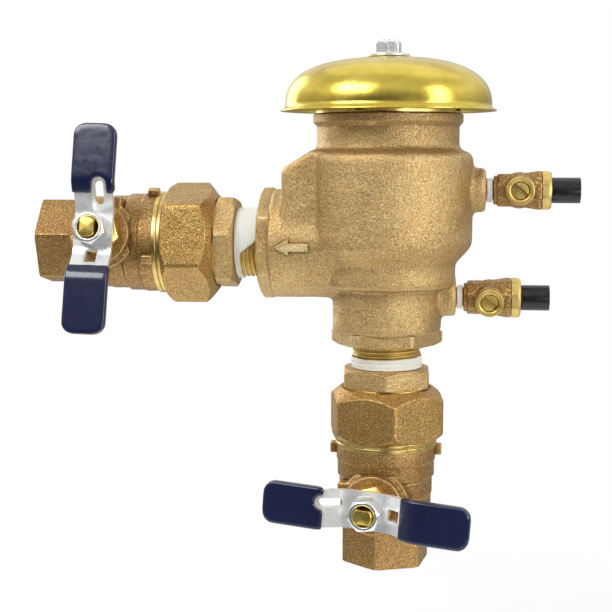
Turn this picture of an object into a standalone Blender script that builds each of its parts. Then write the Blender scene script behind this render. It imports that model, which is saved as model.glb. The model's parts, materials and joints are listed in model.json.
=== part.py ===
"""One-inch bronze pressure vacuum breaker: angle body, brass hood, two union ball valves, two test cocks.

The origin is the centre of the inlet pipe end, +Z runs up the inlet line and the outlet runs along -X.
Lengths are in metres.
"""
import bpy
import bmesh
from math import atan2, cos, pi, radians, sin, sqrt
from mathutils import Matrix, Vector

# ---- driving dimensions -------------------------------------------------------------------------
GAP = 0.0003                    # clearance between touching pieces
EPS = 0.0005                    # how far a cutter runs past the face that it opens
SHUTOFF_LENGTH = 0.1084         # pipe end of a ball valve to the body's port face
OUTLET_HEIGHT = 0.157           # outlet axis above the inlet's pipe end
OUTLET_FACE = 0.0612            # outlet port face from the vertical axis
STEM_LEAN_INLET = radians(-10)  # the valve stems lean this much off the front of the assembly
STEM_LEAN_OUTLET = radians(12)
HANDLE_TILT = {"inlet": radians(4), "outlet": radians(1.5)}

THREAD_R = 0.0164               # male thread of a 1-inch pipe, at its mean depth
SOCKET_R = 0.0168
WATERWAY_R = 0.0125

BALL_Z = 0.0335                 # ball and stem centre from the pipe end
BALL_R = 0.0160
BALL_BORE_R = 0.0100
SEAT_BORE_R = 0.0113
SEAM_Z = 0.0432                 # joint between ball-valve body and adapter
VALVE_R = 0.0228
ADAPTER_R = 0.0238
HEX_END_AF = 0.0383
BOSS_R = 0.0145
BOSS_END = 0.0280
PACKING_NUT_END = 0.0344
HANDLE_Y = 0.0350               # inner face of the handle plate from the pipe axis
PLATE = 0.0025
HANDLE_HALF = 0.0482            # stem axis to the plate's end
HANDLE_WIDTH = 0.0182
ARM_RISE = 0.0070
SLOPE_IN = 0.0108
SLOPE_OUT = 0.0220
GRIP_START = {"a": 0.0212, "b": 0.0172}      # grip a is on the slotted arm
VINYL = 0.0011
STEM_R = 0.0047
STEM_FLATS = 0.0065
STEM_END = 0.0490
HANDLE_NUT_AF = 0.0143
HANDLE_NUT_END = 0.0470
UNION_RING_R = 0.0249
UNION_NUT_AF = 0.0520
UNION_NUT_Z = (0.0628, 0.0870)
TAIL_HEX_AF = 0.0410
TAIL_HEX_Z = (0.0873, 0.0966)

BODY_R = 0.0409
NECK_R = 0.0342
LIP_R = 0.0360
LOWER_R = 0.0330
PORT_R = 0.0264
PORT_HEX_AF = 0.0470
PORT_HEX_LENGTH = 0.0060
LIP_TOP = 0.2190
CANOPY_RIM_Z = 0.2205
CANOPY_R = 0.0517
CANOPY_WALL = 0.0012
CANOPY_BASE_R = 0.0494          # foot of the dome, where the rim starts
CANOPY_BASE_Z = 0.2224
CANOPY_TOP = 0.2460
STUD_R = 0.0040

CHECK_SEAT_Z = 0.1400
BONNET_TOP = 0.2222
AIR_SEAT_R = 0.0200

COCKS = {
    "upper": {"boss_end": 0.0470, "height": 0.1830, "roll": radians(0)},
    "lower": {"boss_end": 0.0335, "height": 0.1314, "roll": radians(10)},
}
COCK_LENGTH = 0.0445            # boss face to the end of the cap
MANIFOLD_TARGETS = ("body", "inlet_valve_body", "outlet_valve_body")

# name: base colour, roughness, metallic
FINISHES = {
    "cast_bronze": ((0.48, 0.31, 0.15, 1), 0.45, 0.9),
    "valve_bronze": ((0.40, 0.22, 0.09, 1), 0.45, 0.9),
    "machined_brass": ((0.60, 0.42, 0.12, 1), 0.25, 1.0),
    "hood_brass": ((0.75, 0.55, 0.10, 1), 0.12, 1.0),
    "zinc_plate": ((0.75, 0.77, 0.80, 1), 0.25, 1.0),
    "stainless": ((0.60, 0.60, 0.60, 1), 0.30, 1.0),
    "vinyl": ((0.010, 0.012, 0.080, 1), 0.20, 0.0),
    "ptfe": ((0.85, 0.85, 0.82, 1), 0.50, 0.0),
    "rubber": ((0.02, 0.02, 0.02, 1), 0.70, 0.0),
    "black_plastic": ((0.015, 0.015, 0.017, 1), 0.25, 0.0),
    "acetal": ((0.60, 0.60, 0.56, 1), 0.45, 0.0),
}

for old in list(bpy.data.objects):
    bpy.data.objects.remove(old)
PARTS = bpy.data.collections.new("backflow_preventer")
CUTTERS = bpy.data.collections.new("cutters")
for group in (PARTS, CUTTERS):
    bpy.context.scene.collection.children.link(group)


# ---- modelling tools ----------------------------------------------------------------------------
def material(name):
    """One Principled material for each finish."""
    if name in bpy.data.materials:
        return bpy.data.materials[name]
    colour, roughness, metallic = FINISHES[name]
    made = bpy.data.materials.new(name)
    made.use_nodes = True
    shader = made.node_tree.nodes["Principled BSDF"]
    shader.inputs["Base Color"].default_value = colour
    shader.inputs["Roughness"].default_value = roughness
    shader.inputs["Metallic"].default_value = metallic
    return made


def link(name, data, place, finish=None):
    """Put mesh or curve data in the scene: a part if it has a finish, a cutter if it has none."""
    made = bpy.data.objects.new(name, data)
    made.matrix_world = place
    if finish:
        PARTS.objects.link(made)
        data.materials.append(material(finish))
        if hasattr(data, "shade_smooth"):
            data.shade_smooth()
            data.set_sharp_from_angle(angle=radians(35))
    else:
        CUTTERS.objects.link(made)
        made.hide_render = True
        made.display_type = "WIRE"
    return made


def to_mesh(name, bm):
    """Mesh data from a bmesh, with its faces pointing out."""
    bmesh.ops.recalc_face_normals(bm, faces=bm.faces)
    mesh = bpy.data.meshes.new(name)
    bm.to_mesh(mesh)
    bm.free()
    return mesh


def turned(name, profile, place, finish=None, steps=24, closed=True):
    """Turn a profile of (radius, z) points about Z. It runs down the outer side, top to bottom.

    A closed profile is a ring; an open one starts and ends on the axis.
    """
    mesh = bpy.data.meshes.new(name)
    count = len(profile)
    edges = [(i, (i + 1) % count) for i in range(count if closed else count - 1)]
    mesh.from_pydata([(r, 0, z) for r, z in profile], edges, [])
    made = link(name, mesh, place, finish)
    screw = made.modifiers.new("turn", "SCREW")
    screw.steps = steps
    screw.render_steps = steps
    screw.use_merge_vertices = True
    screw.merge_threshold = 0.00001
    screw.use_smooth_shade = finish is not None
    return made


def rod(name, radius, z0, z1, place, finish=None, steps=24, end_radius=None):
    """Cylinder or cone along Z."""
    bm = bmesh.new()
    top = radius if end_radius is None else end_radius
    bmesh.ops.create_cone(bm, cap_ends=True, segments=steps, radius1=radius, radius2=top,
                          depth=z1 - z0, matrix=Matrix.Translation((0, 0, (z0 + z1) / 2)))
    return link(name, to_mesh(name, bm), place, finish)


def hexagon(name, across_flats, z0, z1, place, finish=None, turn=0.0):
    """Hexagonal prism along Z. At turn 0 a corner is on +X."""
    bm = bmesh.new()
    radius = across_flats / sqrt(3)
    spin = Matrix.Translation((0, 0, (z0 + z1) / 2)) @ Matrix.Rotation(turn, 4, "Z")
    bmesh.ops.create_cone(bm, cap_ends=True, segments=6, radius1=radius, radius2=radius,
                          depth=z1 - z0, matrix=spin)
    return link(name, to_mesh(name, bm), place, finish)


def box(name, low, high, place, finish=None):
    """Rectangular block between two corners."""
    bm = bmesh.new()
    low, high = Vector(low), Vector(high)
    size = Matrix.Diagonal((*(high - low), 1))
    bmesh.ops.create_cube(bm, size=1, matrix=Matrix.Translation((low + high) / 2) @ size)
    return link(name, to_mesh(name, bm), place, finish)


def sheet(name, outline, thickness, place, finish=None):
    """Flat outline in XY, made thick along Z, about z = 0: a filled 2D curve turned into a mesh."""
    curve = bpy.data.curves.new(name, "CURVE")
    curve.dimensions = "2D"
    curve.fill_mode = "BOTH"
    curve.extrude = thickness / 2
    spline = curve.splines.new("POLY")
    spline.points.add(len(outline) - 1)
    for point, (x, y) in zip(spline.points, outline):
        point.co = (x, y, 0, 1)
    spline.use_cyclic_u = True
    guide = link(name + "_curve", curve, Matrix.Identity(4))
    bpy.context.view_layer.update()
    mesh = bpy.data.meshes.new_from_object(guide.evaluated_get(bpy.context.evaluated_depsgraph_get()))
    bpy.data.objects.remove(guide)
    bm = bmesh.new()
    bm.from_mesh(mesh)
    bmesh.ops.remove_doubles(bm, verts=bm.verts, dist=0.00001)
    mesh = to_mesh(name, bm)
    mesh.materials.clear()
    return link(name, mesh, place, finish)


def combine(target, operation, *tools):
    """Add Boolean modifiers to target, one for each tool. The castings' many-piece unions leave open
    edges with the exact solver, so those targets use the manifold one.
    """
    for tool in tools:
        modifier = target.modifiers.new(tool.name, "BOOLEAN")
        modifier.operation = operation
        modifier.solver = "MANIFOLD" if target.name in MANIFOLD_TARGETS else "EXACT"
        modifier.object = tool
    return target


def cut(target, *tools):
    return combine(target, "DIFFERENCE", *tools)


def join(target, *tools):
    return combine(target, "UNION", *tools)


def hang(child, parent):
    """Parent without moving: the parent's origin is the joint's axis."""
    child.parent = parent
    child.matrix_parent_inverse = parent.matrix_world.inverted()


def pivot(name, place):
    """Empty on a joint's axis, its Z along that axis."""
    made = bpy.data.objects.new(name, None)
    made.empty_display_size = 0.01
    made.matrix_world = place
    PARTS.objects.link(made)
    return made


def arc(centre, radius, start, end, count):
    """Points along an arc, in degrees, in the order that a profile needs."""
    step = radians(end - start) / (count - 1)
    angles = [radians(start) + step * i for i in range(count)]
    return [(centre[0] + radius * cos(a), centre[1] + radius * sin(a)) for a in angles]


def hex_nut(name, across_flats, z0, z1, bore, place, finish, turn=0.0, chamfer=0.0010, steps=18):
    """Plain chamfered nut along Z."""
    nut = hexagon(name, across_flats, z0, z1, place, finish, turn)
    corner = across_flats / sqrt(3)
    ring = across_flats / 2
    envelope = turned(name + "_chamfer", [(0, z1 + EPS), (ring - EPS, z1 + EPS), (corner + EPS, z1 - chamfer),
                                          (corner + EPS, z0 + chamfer), (ring - EPS, z0 - EPS),
                                          (0, z0 - EPS)], place, steps=steps, closed=False)
    combine(nut, "INTERSECT", envelope)
    return cut(nut, rod(name + "_bore", bore, z0 - 2 * EPS, z1 + 2 * EPS, place, steps=steps))


def coil(name, radius, wire, z0, z1, turns, place, finish, points_per_turn=10):
    """Compression spring along Z, as a POLY curve whose ends reach z0 and z1."""
    curve = bpy.data.curves.new(name, "CURVE")
    curve.dimensions = "3D"
    curve.bevel_depth = wire / 2
    curve.bevel_resolution = 0
    curve.use_fill_caps = True
    spline = curve.splines.new("POLY")
    count = int(turns * points_per_turn)
    spline.points.add(count)
    low, high = z0 + wire / 2, z1 - wire / 2
    for i, point in enumerate(spline.points):
        angle = 2 * pi * turns * i / count
        point.co = (radius * cos(angle), radius * sin(angle), low + (high - low) * i / count, 1)
    return link(name, curve, place, finish)


def at(x, y, z):
    return Matrix.Translation((x, y, z))


WORLD = Matrix.Identity(4)
OUTWARD = Matrix.Rotation(radians(90), 4, "X")      # turns Z to -Y: a stem points out of the front


# ---- shutoff: a ball valve joined to the body by a union -------------------------------------------
def rounded_end(x0, x1, half, corner):
    """Outline of a strip from x0 to x1 with two rounded corners at x1."""
    side = 1 if x1 > x0 else -1
    turn = [(x1 - side * corner + side * corner * cos(a), -half + corner - corner * sin(a))
            for a in (radians(90 - 22.5 * i) for i in range(5))]
    return [(x0, -half)] + turn + [(x, -y) for x, y in reversed(turn)] + [(x0, half)]


def arm_profile(thickness, x0, x1):
    """Side view of one bent arm, in (x, height): flat, slope, flat, with an even wall."""
    mid = HANDLE_Y + PLATE / 2
    slope = atan2(ARM_RISE, SLOPE_OUT - SLOPE_IN)
    shift = thickness / 2 * (1 - cos(slope)) / sin(slope)

    def height(x):
        share = min(max((x - SLOPE_IN) / (SLOPE_OUT - SLOPE_IN), 0), 1)
        return mid + ARM_RISE * share

    lower = [(x, height(x - shift) - thickness / 2) for x in (SLOPE_IN + shift, SLOPE_OUT + shift)]
    upper = [(x, height(x + shift) + thickness / 2) for x in (SLOPE_OUT - shift, SLOPE_IN - shift)]
    if x0 > SLOPE_IN + shift:
        lower[0] = (x0, height(x0) - thickness / 2 / cos(slope))
        upper[1] = (x0, height(x0) + thickness / 2 / cos(slope))
        return lower + [(x1, mid + ARM_RISE - thickness / 2), (x1, mid + ARM_RISE + thickness / 2)] + upper
    return ([(x0, mid - thickness / 2)] + lower
            + [(x1, mid + ARM_RISE - thickness / 2), (x1, mid + ARM_RISE + thickness / 2)]
            + upper + [(x0, mid + thickness / 2)])


def bent_plate(name, thickness, width, reach, place, finish=None):
    """The whole tee handle's plate: two bent arms and the flat between them."""
    arm = arm_profile(thickness, 0, reach)
    half = arm[1:-1]
    outline = half + [(-x, y) for x, y in reversed(half)]
    return sheet(name, outline, width, place @ Matrix.Rotation(radians(90), 4, "X"), finish)


def slot_outline(x0, x1, y, radius):
    """Capsule along X, both ends round."""
    right = arc((x1 - radius, y), radius, -90, 90, 7)
    left = arc((x0 + radius, y), radius, 90, 270, 7)
    return right + left


def handle(side, turned_frame, spindle):
    """Bent plate with its slot, hole and double-D seat, its two vinyl grips and its nut."""
    mid = HANDLE_Y + ARM_RISE / 2
    tall = 0.03
    plate = bent_plate(side + "_handle", PLATE, HANDLE_WIDTH, HANDLE_HALF, turned_frame, "zinc_plate")
    half = HANDLE_WIDTH / 2
    right = rounded_end(0, HANDLE_HALF, half, 0.0045)
    outline = right[1:-1] + [(-x, -y) for x, y in right[1:-1]]
    combine(plate, "INTERSECT", sheet(side + "_plan", outline, tall, turned_frame @ at(0, 0, mid)))
    bite = atan2(STEM_FLATS / 2, sqrt(STEM_R ** 2 - (STEM_FLATS / 2) ** 2))
    flats = [(x * (1 + GAP / STEM_R), y + (GAP if y > 0 else -GAP))
             for x, y in arc((0, 0), STEM_R, -bite * 180 / pi, bite * 180 / pi, 7)]
    seat = flats + [(-x, -y) for x, y in flats]
    cut(plate, sheet(side + "_double_d", seat, tall, turned_frame @ at(0, 0, mid)))
    slot = slot_outline(-0.0227, -0.0121, 0.0030, 0.0022)
    cut(plate, sheet(side + "_slot", slot, tall, turned_frame @ at(0, 0, mid)))
    cut(plate, box(side + "_hole", (0.0098, -0.0028, mid - 0.01), (0.0154, 0.0028, mid + 0.01),
                   turned_frame))
    hang(plate, spindle)
    sleeve = (HANDLE_WIDTH + 2 * VINYL, HANDLE_HALF + VINYL)
    for letter, mirror in (("a", -1), ("b", 1)):
        name = side + "_grip_" + letter
        frame = turned_frame @ Matrix.Rotation(0 if mirror > 0 else pi, 4, "Z")
        edge_on = frame @ Matrix.Rotation(radians(90), 4, "X")
        grip = sheet(name, arm_profile(PLATE + 2 * VINYL, GRIP_START[letter], sleeve[1]), sleeve[0],
                     edge_on, "vinyl")
        plan = rounded_end(0, sleeve[1], sleeve[0] / 2, 0.0055)
        combine(grip, "INTERSECT", sheet(name + "_plan", plan, tall, frame @ at(0, 0, mid)))
        hollow = arm_profile(PLATE + 2 * GAP, 0, HANDLE_HALF + GAP)
        cut(grip, sheet(name + "_hollow", hollow, HANDLE_WIDTH + 2 * GAP, edge_on))
        if mirror < 0:
            notch = slot_outline(-0.0239, -0.0110, 0.0030, 0.0033)
            cut(grip, sheet(name + "_notch", notch, tall, turned_frame @ at(0, 0, mid)))
        hang(grip, spindle)
    nut = hex_nut(side + "_handle_nut", HANDLE_NUT_AF, HANDLE_Y + PLATE + GAP, HANDLE_NUT_END,
                  STEM_R + GAP, turned_frame, "zinc_plate", turn=radians(12))
    hang(nut, spindle)


def ball_and_stem(side, turned_frame, spindle):
    """Ball with its bore along the handle, and the stem whose blade turns it."""
    bm = bmesh.new()
    bmesh.ops.create_uvsphere(bm, u_segments=20, v_segments=10, radius=BALL_R)
    ball = link(side + "_ball", to_mesh(side + "_ball", bm), turned_frame, "stainless")
    cut(ball, rod(side + "_ball_bore", BALL_BORE_R, -0.02, 0.02,
                  turned_frame @ Matrix.Rotation(radians(90), 4, "Y"), steps=24))
    blade_low, blade_half = 0.0129, 0.0020
    cut(ball, box(side + "_ball_slot", (-blade_half - GAP, -0.02, blade_low - GAP),
                  (blade_half + GAP, 0.02, 0.02), turned_frame))
    hang(ball, spindle)
    collar = (0.0168, 0.0183, 0.0068)
    stem = turned(side + "_stem", [(0, STEM_END), (STEM_R - 0.0008, STEM_END), (STEM_R, STEM_END - 0.0008),
                                   (STEM_R, collar[1]), (collar[2], collar[1]), (collar[2], collar[0]),
                                   (0, collar[0])], turned_frame, "machined_brass", steps=16, closed=False)
    join(stem, box(side + "_blade", (-blade_half, -0.0050, blade_low), (blade_half, 0.0050, collar[0] + EPS),
                   turned_frame))
    for sign in (-1, 1):
        near, far = sorted((sign * STEM_FLATS / 2, sign * 0.01))
        cut(stem, box(f"{side}_flat_{sign}", (-0.01, near, HANDLE_Y - GAP), (0.01, far, STEM_END + EPS),
                      turned_frame))
    hang(stem, spindle)


def ball_seat(name, place, direction):
    """PTFE ring that the ball rests on; direction is -1 on the pipe side, 1 on the union side."""
    face = [(sqrt((BALL_R + GAP) ** 2 - z * z), z) for z in (0.0115, 0.0092, 0.0065)]
    outer = BALL_R + 0.0004
    profile = [(outer, 0.0138), (outer, 0.0065)] + face[::-1] + [(SEAT_BORE_R, 0.0138)]
    flip = Matrix.Rotation(0 if direction > 0 else pi, 4, "X")
    return turned(name, profile, place @ at(0, 0, BALL_Z) @ flip, "ptfe", steps=32)


def valve_body(side, place, stem_frame):
    """Cast body: hex pipe end, round barrel, stem boss and stop lug, bored for pipe, ball and stem."""
    socket_end, pocket, cavity = 0.0142, BALL_Z - 0.0141, BALL_R + 0.0007
    spigot = (0.0197, 0.0473)
    corner = HEX_END_AF / sqrt(3)
    name = side + "_valve_body"
    body = hexagon(name, HEX_END_AF, 0, 0.0212, place, "valve_bronze", turn=radians(30))
    combine(body, "INTERSECT", turned(name + "_chamfer", [
        (0, 0.03), (corner + EPS, 0.03), (corner + EPS, 0.0012), (corner - 0.0015, -0.0001), (0, -0.0001)],
        place, closed=False))
    join(body, turned(name + "_barrel", [
        (0, spigot[1]), (spigot[0], spigot[1]), (spigot[0], SEAM_Z), (VALVE_R, SEAM_Z), (VALVE_R, 0.0235),
        (VALVE_R - 0.0012, 0.0215), (HEX_END_AF / 2, 0.0190), (0, 0.0190)], place, steps=24, closed=False))
    join(body, rod(name + "_boss", BOSS_R, 0.010, BOSS_END, stem_frame, steps=24))
    join(body, box(name + "_lug", (-0.0185, 0.0049, 0.008), (-0.0080, 0.0096, 0.0240), stem_frame))
    cut(body, turned(name + "_adapter_room", [
        (0, 0.06), (ADAPTER_R + 0.0009, 0.06), (ADAPTER_R + 0.0009, SEAM_Z), (spigot[0], SEAM_Z),
        (spigot[0], spigot[1]), (0, spigot[1])], place, closed=False))
    cut(body, turned(name + "_waterway", [
        (0, spigot[1] + EPS), (cavity, spigot[1] + EPS), (cavity, pocket), (SEAT_BORE_R - 0.0008, pocket),
        (SEAT_BORE_R - 0.0008, socket_end), (SOCKET_R - 0.0006, socket_end), (SOCKET_R, -EPS), (0, -EPS)],
        place, closed=False))
    cut(body, turned(name + "_stem_hole", [
        (0, 0.03), (0.0079, 0.03), (0.0079, 0.0216), (STEM_R + GAP, 0.0216), (STEM_R + GAP, 0.0186),
        (0.0071, 0.0186), (0.0071, 0.012), (0, 0.012)], stem_frame, steps=16, closed=False))
    return body


def stem_seals(side, stem_frame):
    """Packing ring and the nut that presses on it."""
    turned(side + "_stem_packing", [(0.0076, 0.0246), (0.0076, 0.0219), (STEM_R + GAP, 0.0219),
                                    (STEM_R + GAP, 0.0246)], stem_frame, "ptfe", steps=14)
    nut = hex_nut(side + "_packing_nut", 0.0200, BOSS_END + GAP, PACKING_NUT_END, 0.0060,
                  stem_frame, "machined_brass", turn=radians(15))
    join(nut, turned(side + "_packing_sleeve", [
        (0.0076, BOSS_END + 0.0010), (0.0076, 0.0249), (STEM_R + GAP, 0.0249),
        (STEM_R + GAP, PACKING_NUT_END - 0.0005), (0.0065, PACKING_NUT_END - 0.0005),
        (0.0065, BOSS_END + 0.0010)], stem_frame, steps=24))


def union(side, place, lug_turn, nut_turn, tail_turn):
    """Adapter with its lugs and union thread, union nut, gasket, tailpiece and sealing tape."""
    name = side + "_valve_adapter"
    thread_r, bore, thread_top = 0.0230, 0.0106, 0.0768
    adapter = turned(name, [
        (thread_r, thread_top), (thread_r, 0.0625), (UNION_RING_R, 0.0622), (UNION_RING_R, 0.0586),
        (ADAPTER_R + 0.0005, 0.0582), (ADAPTER_R + 0.0005, 0.0515), (ADAPTER_R, 0.0507),
        (ADAPTER_R, SEAM_Z + GAP), (0.0200, SEAM_Z + GAP), (0.0200, 0.0476), (bore, 0.0476),
        (bore, thread_top)], place, "valve_bronze", steps=24)
    for i in range(3):
        spin = place @ Matrix.Rotation(lug_turn + i * pi / 2, 4, "Z")
        join(adapter, box(f"{name}_lug_{i}", (0.0220, -0.0022, 0.0535), (0.0274, 0.0022, 0.0590), spin))
    z0, z1 = UNION_NUT_Z
    corner = UNION_NUT_AF / sqrt(3)
    nut = hexagon(side + "_union_nut", UNION_NUT_AF, z0, z1, place, "cast_bronze", nut_turn)
    combine(nut, "INTERSECT", turned(side + "_nut_chamfer", [
        (0, z1 + 0.001), (0.0215, z1 + 0.001), (corner + EPS, z1 - 0.0062), (corner + EPS, z0 + 0.0036),
        (0.0258, z0 - 0.001), (0, z0 - 0.001)], place, steps=24, closed=False))
    mouth = 0.0212
    cut(nut, turned(side + "_nut_bore", [
        (0, z1 + EPS), (mouth, z1 + EPS), (mouth, 0.0805), (thread_r + GAP, 0.0805),
        (thread_r + GAP, z0 - EPS), (0, z0 - EPS)], place, steps=24, closed=False))
    turned(side + "_union_gasket", [(0.0205, 0.0783), (0.0205, thread_top + GAP),
                                    (WATERWAY_R, thread_top + GAP), (WATERWAY_R, 0.0783)],
           place, "rubber", steps=20)
    hex0, hex1 = TAIL_HEX_Z
    name = side + "_union_tailpiece"
    tail = hexagon(name, TAIL_HEX_AF, hex0, hex1, place, "cast_bronze", tail_turn)
    tail_corner = TAIL_HEX_AF / sqrt(3)
    combine(tail, "INTERSECT", turned(name + "_chamfer", [
        (0, hex1 + 0.0005), (TAIL_HEX_AF / 2, hex1 + 0.0005), (tail_corner + EPS, hex1 - 0.0020),
        (tail_corner + EPS, hex0 - EPS), (0, hex0 - EPS)], place, steps=24, closed=False))
    join(tail, turned(name + "_shank", [
        (0, 0.1215), (THREAD_R - 0.0008, 0.1215), (THREAD_R, 0.1200), (THREAD_R, hex0 + 0.001),
        (mouth - GAP, hex0 + 0.001), (mouth - GAP, 0.0802), (0.0227, 0.0802), (0.0227, 0.0786),
        (0, 0.0786)], place, steps=24, closed=False))
    cut(tail, rod(name + "_bore", WATERWAY_R, 0.07, 0.13, place, steps=20))
    turned(side + "_thread_tape", [(0.0172, 0.1022), (0.0173, hex1 + GAP), (THREAD_R + GAP, hex1 + GAP),
                                   (THREAD_R + GAP, 0.1022)], place, "ptfe", steps=20)


def shutoff(side, place, lug_turn, nut_turn, tail_turn):
    """One ball valve with its union, from the pipe end to the thread in the body's port."""
    stem_frame = place @ at(0, 0, BALL_Z) @ OUTWARD
    turned_frame = stem_frame @ Matrix.Rotation(-HANDLE_TILT[side], 4, "Z")
    spindle = pivot(side + "_valve_axis", turned_frame)
    valve_body(side, place, stem_frame)
    ball_seat(side + "_ball_seat_a", place, -1)
    ball_seat(side + "_ball_seat_b", place, 1)
    ball_and_stem(side, turned_frame, spindle)
    stem_seals(side, stem_frame)
    handle(side, turned_frame, spindle)
    union(side, place, lug_turn, nut_turn, tail_turn)


# ---- main body -------------------------------------------------------------------------------------
def main_body(outlet_frame):
    """Angle-pattern casting: round barrel, neck, lower barrel, outlet arm, web and two cock bosses."""
    port_z = SHUTOFF_LENGTH
    hex_top = port_z + PORT_HEX_LENGTH
    shoulder = arc((BODY_R - 0.0040, 0.1975), 0.0040, 80, 0, 4)
    body = turned("body", [
        (0, LIP_TOP), (LIP_R, LIP_TOP), (LIP_R, 0.2152), (NECK_R, 0.2138), (NECK_R, 0.2040),
        (NECK_R + 0.0008, 0.2024), *shoulder, (BODY_R, 0.1572), (BODY_R - 0.0012, 0.1552),
        (LOWER_R + 0.0004, 0.1484), (LOWER_R, 0.1474), (LOWER_R, 0.1376), (LOWER_R - 0.0008, 0.1368),
        (PORT_R, 0.1364), (PORT_R, hex_top - 0.0002), (0, hex_top - 0.0002)],
        WORLD, "cast_bronze", steps=32, closed=False)
    arm_length = OUTLET_FACE - PORT_HEX_LENGTH
    arm_frame = outlet_frame @ at(0, 0, SHUTOFF_LENGTH)
    join(body, rod("arm", PORT_R, PORT_HEX_LENGTH - 0.0002, OUTLET_FACE, arm_frame, steps=32))
    web = [(-0.0490, OUTLET_HEIGHT), (-0.0490, 0.1918), (-0.0478, 0.1940), (-0.0345, 0.2022),
           (-0.0100, 0.2022), (-0.0100, OUTLET_HEIGHT)]
    join(body, sheet("web", web, 0.0490, OUTWARD))
    for name, frame, turn in (("inlet_port_hex", at(0, 0, port_z), 0), ("outlet_port_hex", arm_frame, 0)):
        join(body, hexagon(name, PORT_HEX_AF, 0, PORT_HEX_LENGTH, frame, turn=turn))
    for name, cock in COCKS.items():
        radius, root = (0.0106, 0.0330) if name == "upper" else (0.0092, 0.0240)
        join(body, rod(name + "_boss", radius, root, cock["boss_end"],
                       at(0, 0, cock["height"]) @ Matrix.Rotation(radians(90), 4, "Y"), steps=24))
    ledge, chamber = 0.1920, 0.0365
    cut(body, turned("chamber", [
        (0, LIP_TOP + EPS), (0.0318, LIP_TOP + EPS), (0.0318, ledge), (0.0285, ledge), (0.0285, 0.1875),
        (chamber, 0.1830), (chamber, 0.1590), (0.0290, 0.1500), (0.0290, CHECK_SEAT_Z - 0.0020),
        (0.0185, CHECK_SEAT_Z - 0.0020), (0.0185, CHECK_SEAT_Z), (0.0155, CHECK_SEAT_Z),
        (0.0155, port_z + 0.0140), (SOCKET_R, port_z + 0.0140), (SOCKET_R, port_z - EPS),
        (0, port_z - EPS)], WORLD, steps=24, closed=False))
    cut(body, turned("outlet_bore", [
        (0, 0.0500), (0.0150, 0.0500), (0.0150, 0.0140), (SOCKET_R, 0.0140), (SOCKET_R, -EPS), (0, -EPS)],
        arm_frame, closed=False))
    for name, cock in COCKS.items():
        reach = cock["boss_end"] - 0.0240
        frame = at(cock["boss_end"], 0, cock["height"]) @ Matrix.Rotation(radians(90), 4, "Y")
        cut(body, rod(name + "_cock_thread", 0.0052, -0.0085, EPS, frame, steps=16))
        cut(body, rod(name + "_cock_passage", 0.0025, -reach, 0, frame, steps=12))
    return body


def flow_arrow():
    """Raised arrow on the front of the outlet arm, pointing to the outlet."""
    head, neck, tail, half, thin = -0.0560, -0.0475, -0.0360, 0.0038, 0.0014
    return [(head, 0), (neck, half), (neck, thin), (tail, thin), (tail, -thin), (neck, -thin),
            (neck, -half)]


def bonnet_and_hood():
    """Threaded bonnet with its air seat and hub, its seal, the stud, and the hood with washer and nut."""
    low, seat, top = 0.1957, 0.2075, BONNET_TOP
    bonnet = turned("bonnet", [
        (0.0352, top), (0.0352, LIP_TOP + GAP), (0.0315, LIP_TOP + GAP), (0.0315, 0.2188),
        (0.0298, 0.2188), (0.0298, 0.2165), (0.0315, 0.2165), (0.0315, low), (0.0285, low),
        (0.0285, seat), (AIR_SEAT_R, seat), (AIR_SEAT_R, 0.2130), (0.0260, top)],
        WORLD, "machined_brass", steps=24)
    for i in range(4):
        spin = Matrix.Rotation(radians(-108 + 90 * i), 4, "Z")
        cut(bonnet, box(f"spanner_notch_{i}", (0.0310, -0.0028, top - 0.0020), (0.0370, 0.0028, top + EPS),
                        spin))
    hub = [(0.0120, 0.2170), (0.0120, 0.2140), (STUD_R + GAP, 0.2140), (STUD_R + GAP, 0.2170)]
    join(bonnet, turned("bonnet_hub", hub, WORLD, steps=24))
    for i in range(3):
        spin = Matrix.Rotation(radians(30 + 120 * i), 4, "Z")
        join(bonnet, box(f"bonnet_arm_{i}", (0.0110, -0.0025, 0.2140), (0.0215, 0.0025, 0.2170), spin))
    turned("bonnet_o_ring", arc((0.0307, 0.2177), 0.0008, 90, -210, 6), WORLD, "rubber", steps=24)
    shoulder, top = 0.2442, 0.2548
    turned("bonnet_stud", [
        (0, top), (STUD_R - 0.0008, top), (STUD_R - 0.0004, top - 0.0006), (STUD_R - 0.0004, shoulder),
        (0.0065, shoulder), (0.0065, 0.2173), (STUD_R, 0.2173), (STUD_R, 0.2035), (0, 0.2035)],
        WORLD, "machined_brass", steps=20, closed=False)
    power, count = 2.6, 8

    def shell(inset):
        radius, height = CANOPY_BASE_R - inset, CANOPY_TOP - inset - CANOPY_BASE_Z
        points = [(STUD_R, CANOPY_TOP - inset)]
        for i in range(1, count):
            angle = pi / 2 * i / (count - 1)
            points.append((radius * sin(angle) ** (2 / power),
                           CANOPY_BASE_Z + height * max(cos(angle), 0) ** (2 / power)))
        return points

    rim = [(CANOPY_R, CANOPY_RIM_Z + 0.0007), (CANOPY_R, CANOPY_RIM_Z), (CANOPY_R - 0.0010, CANOPY_RIM_Z)]
    turned("canopy", shell(0) + rim + shell(CANOPY_WALL)[::-1], WORLD, "hood_brass", steps=32)
    turned("canopy_washer", [(0.0098, 0.2478), (0.0102, 0.2470), (0.0102, 0.2463), (STUD_R, 0.2463),
                             (STUD_R, 0.2478)], WORLD, "zinc_plate", steps=24)
    hex_nut("canopy_nut", 0.0112, 0.2481, 0.2538, STUD_R - 0.0001, WORLD, "zinc_plate", turn=radians(20))


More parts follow.
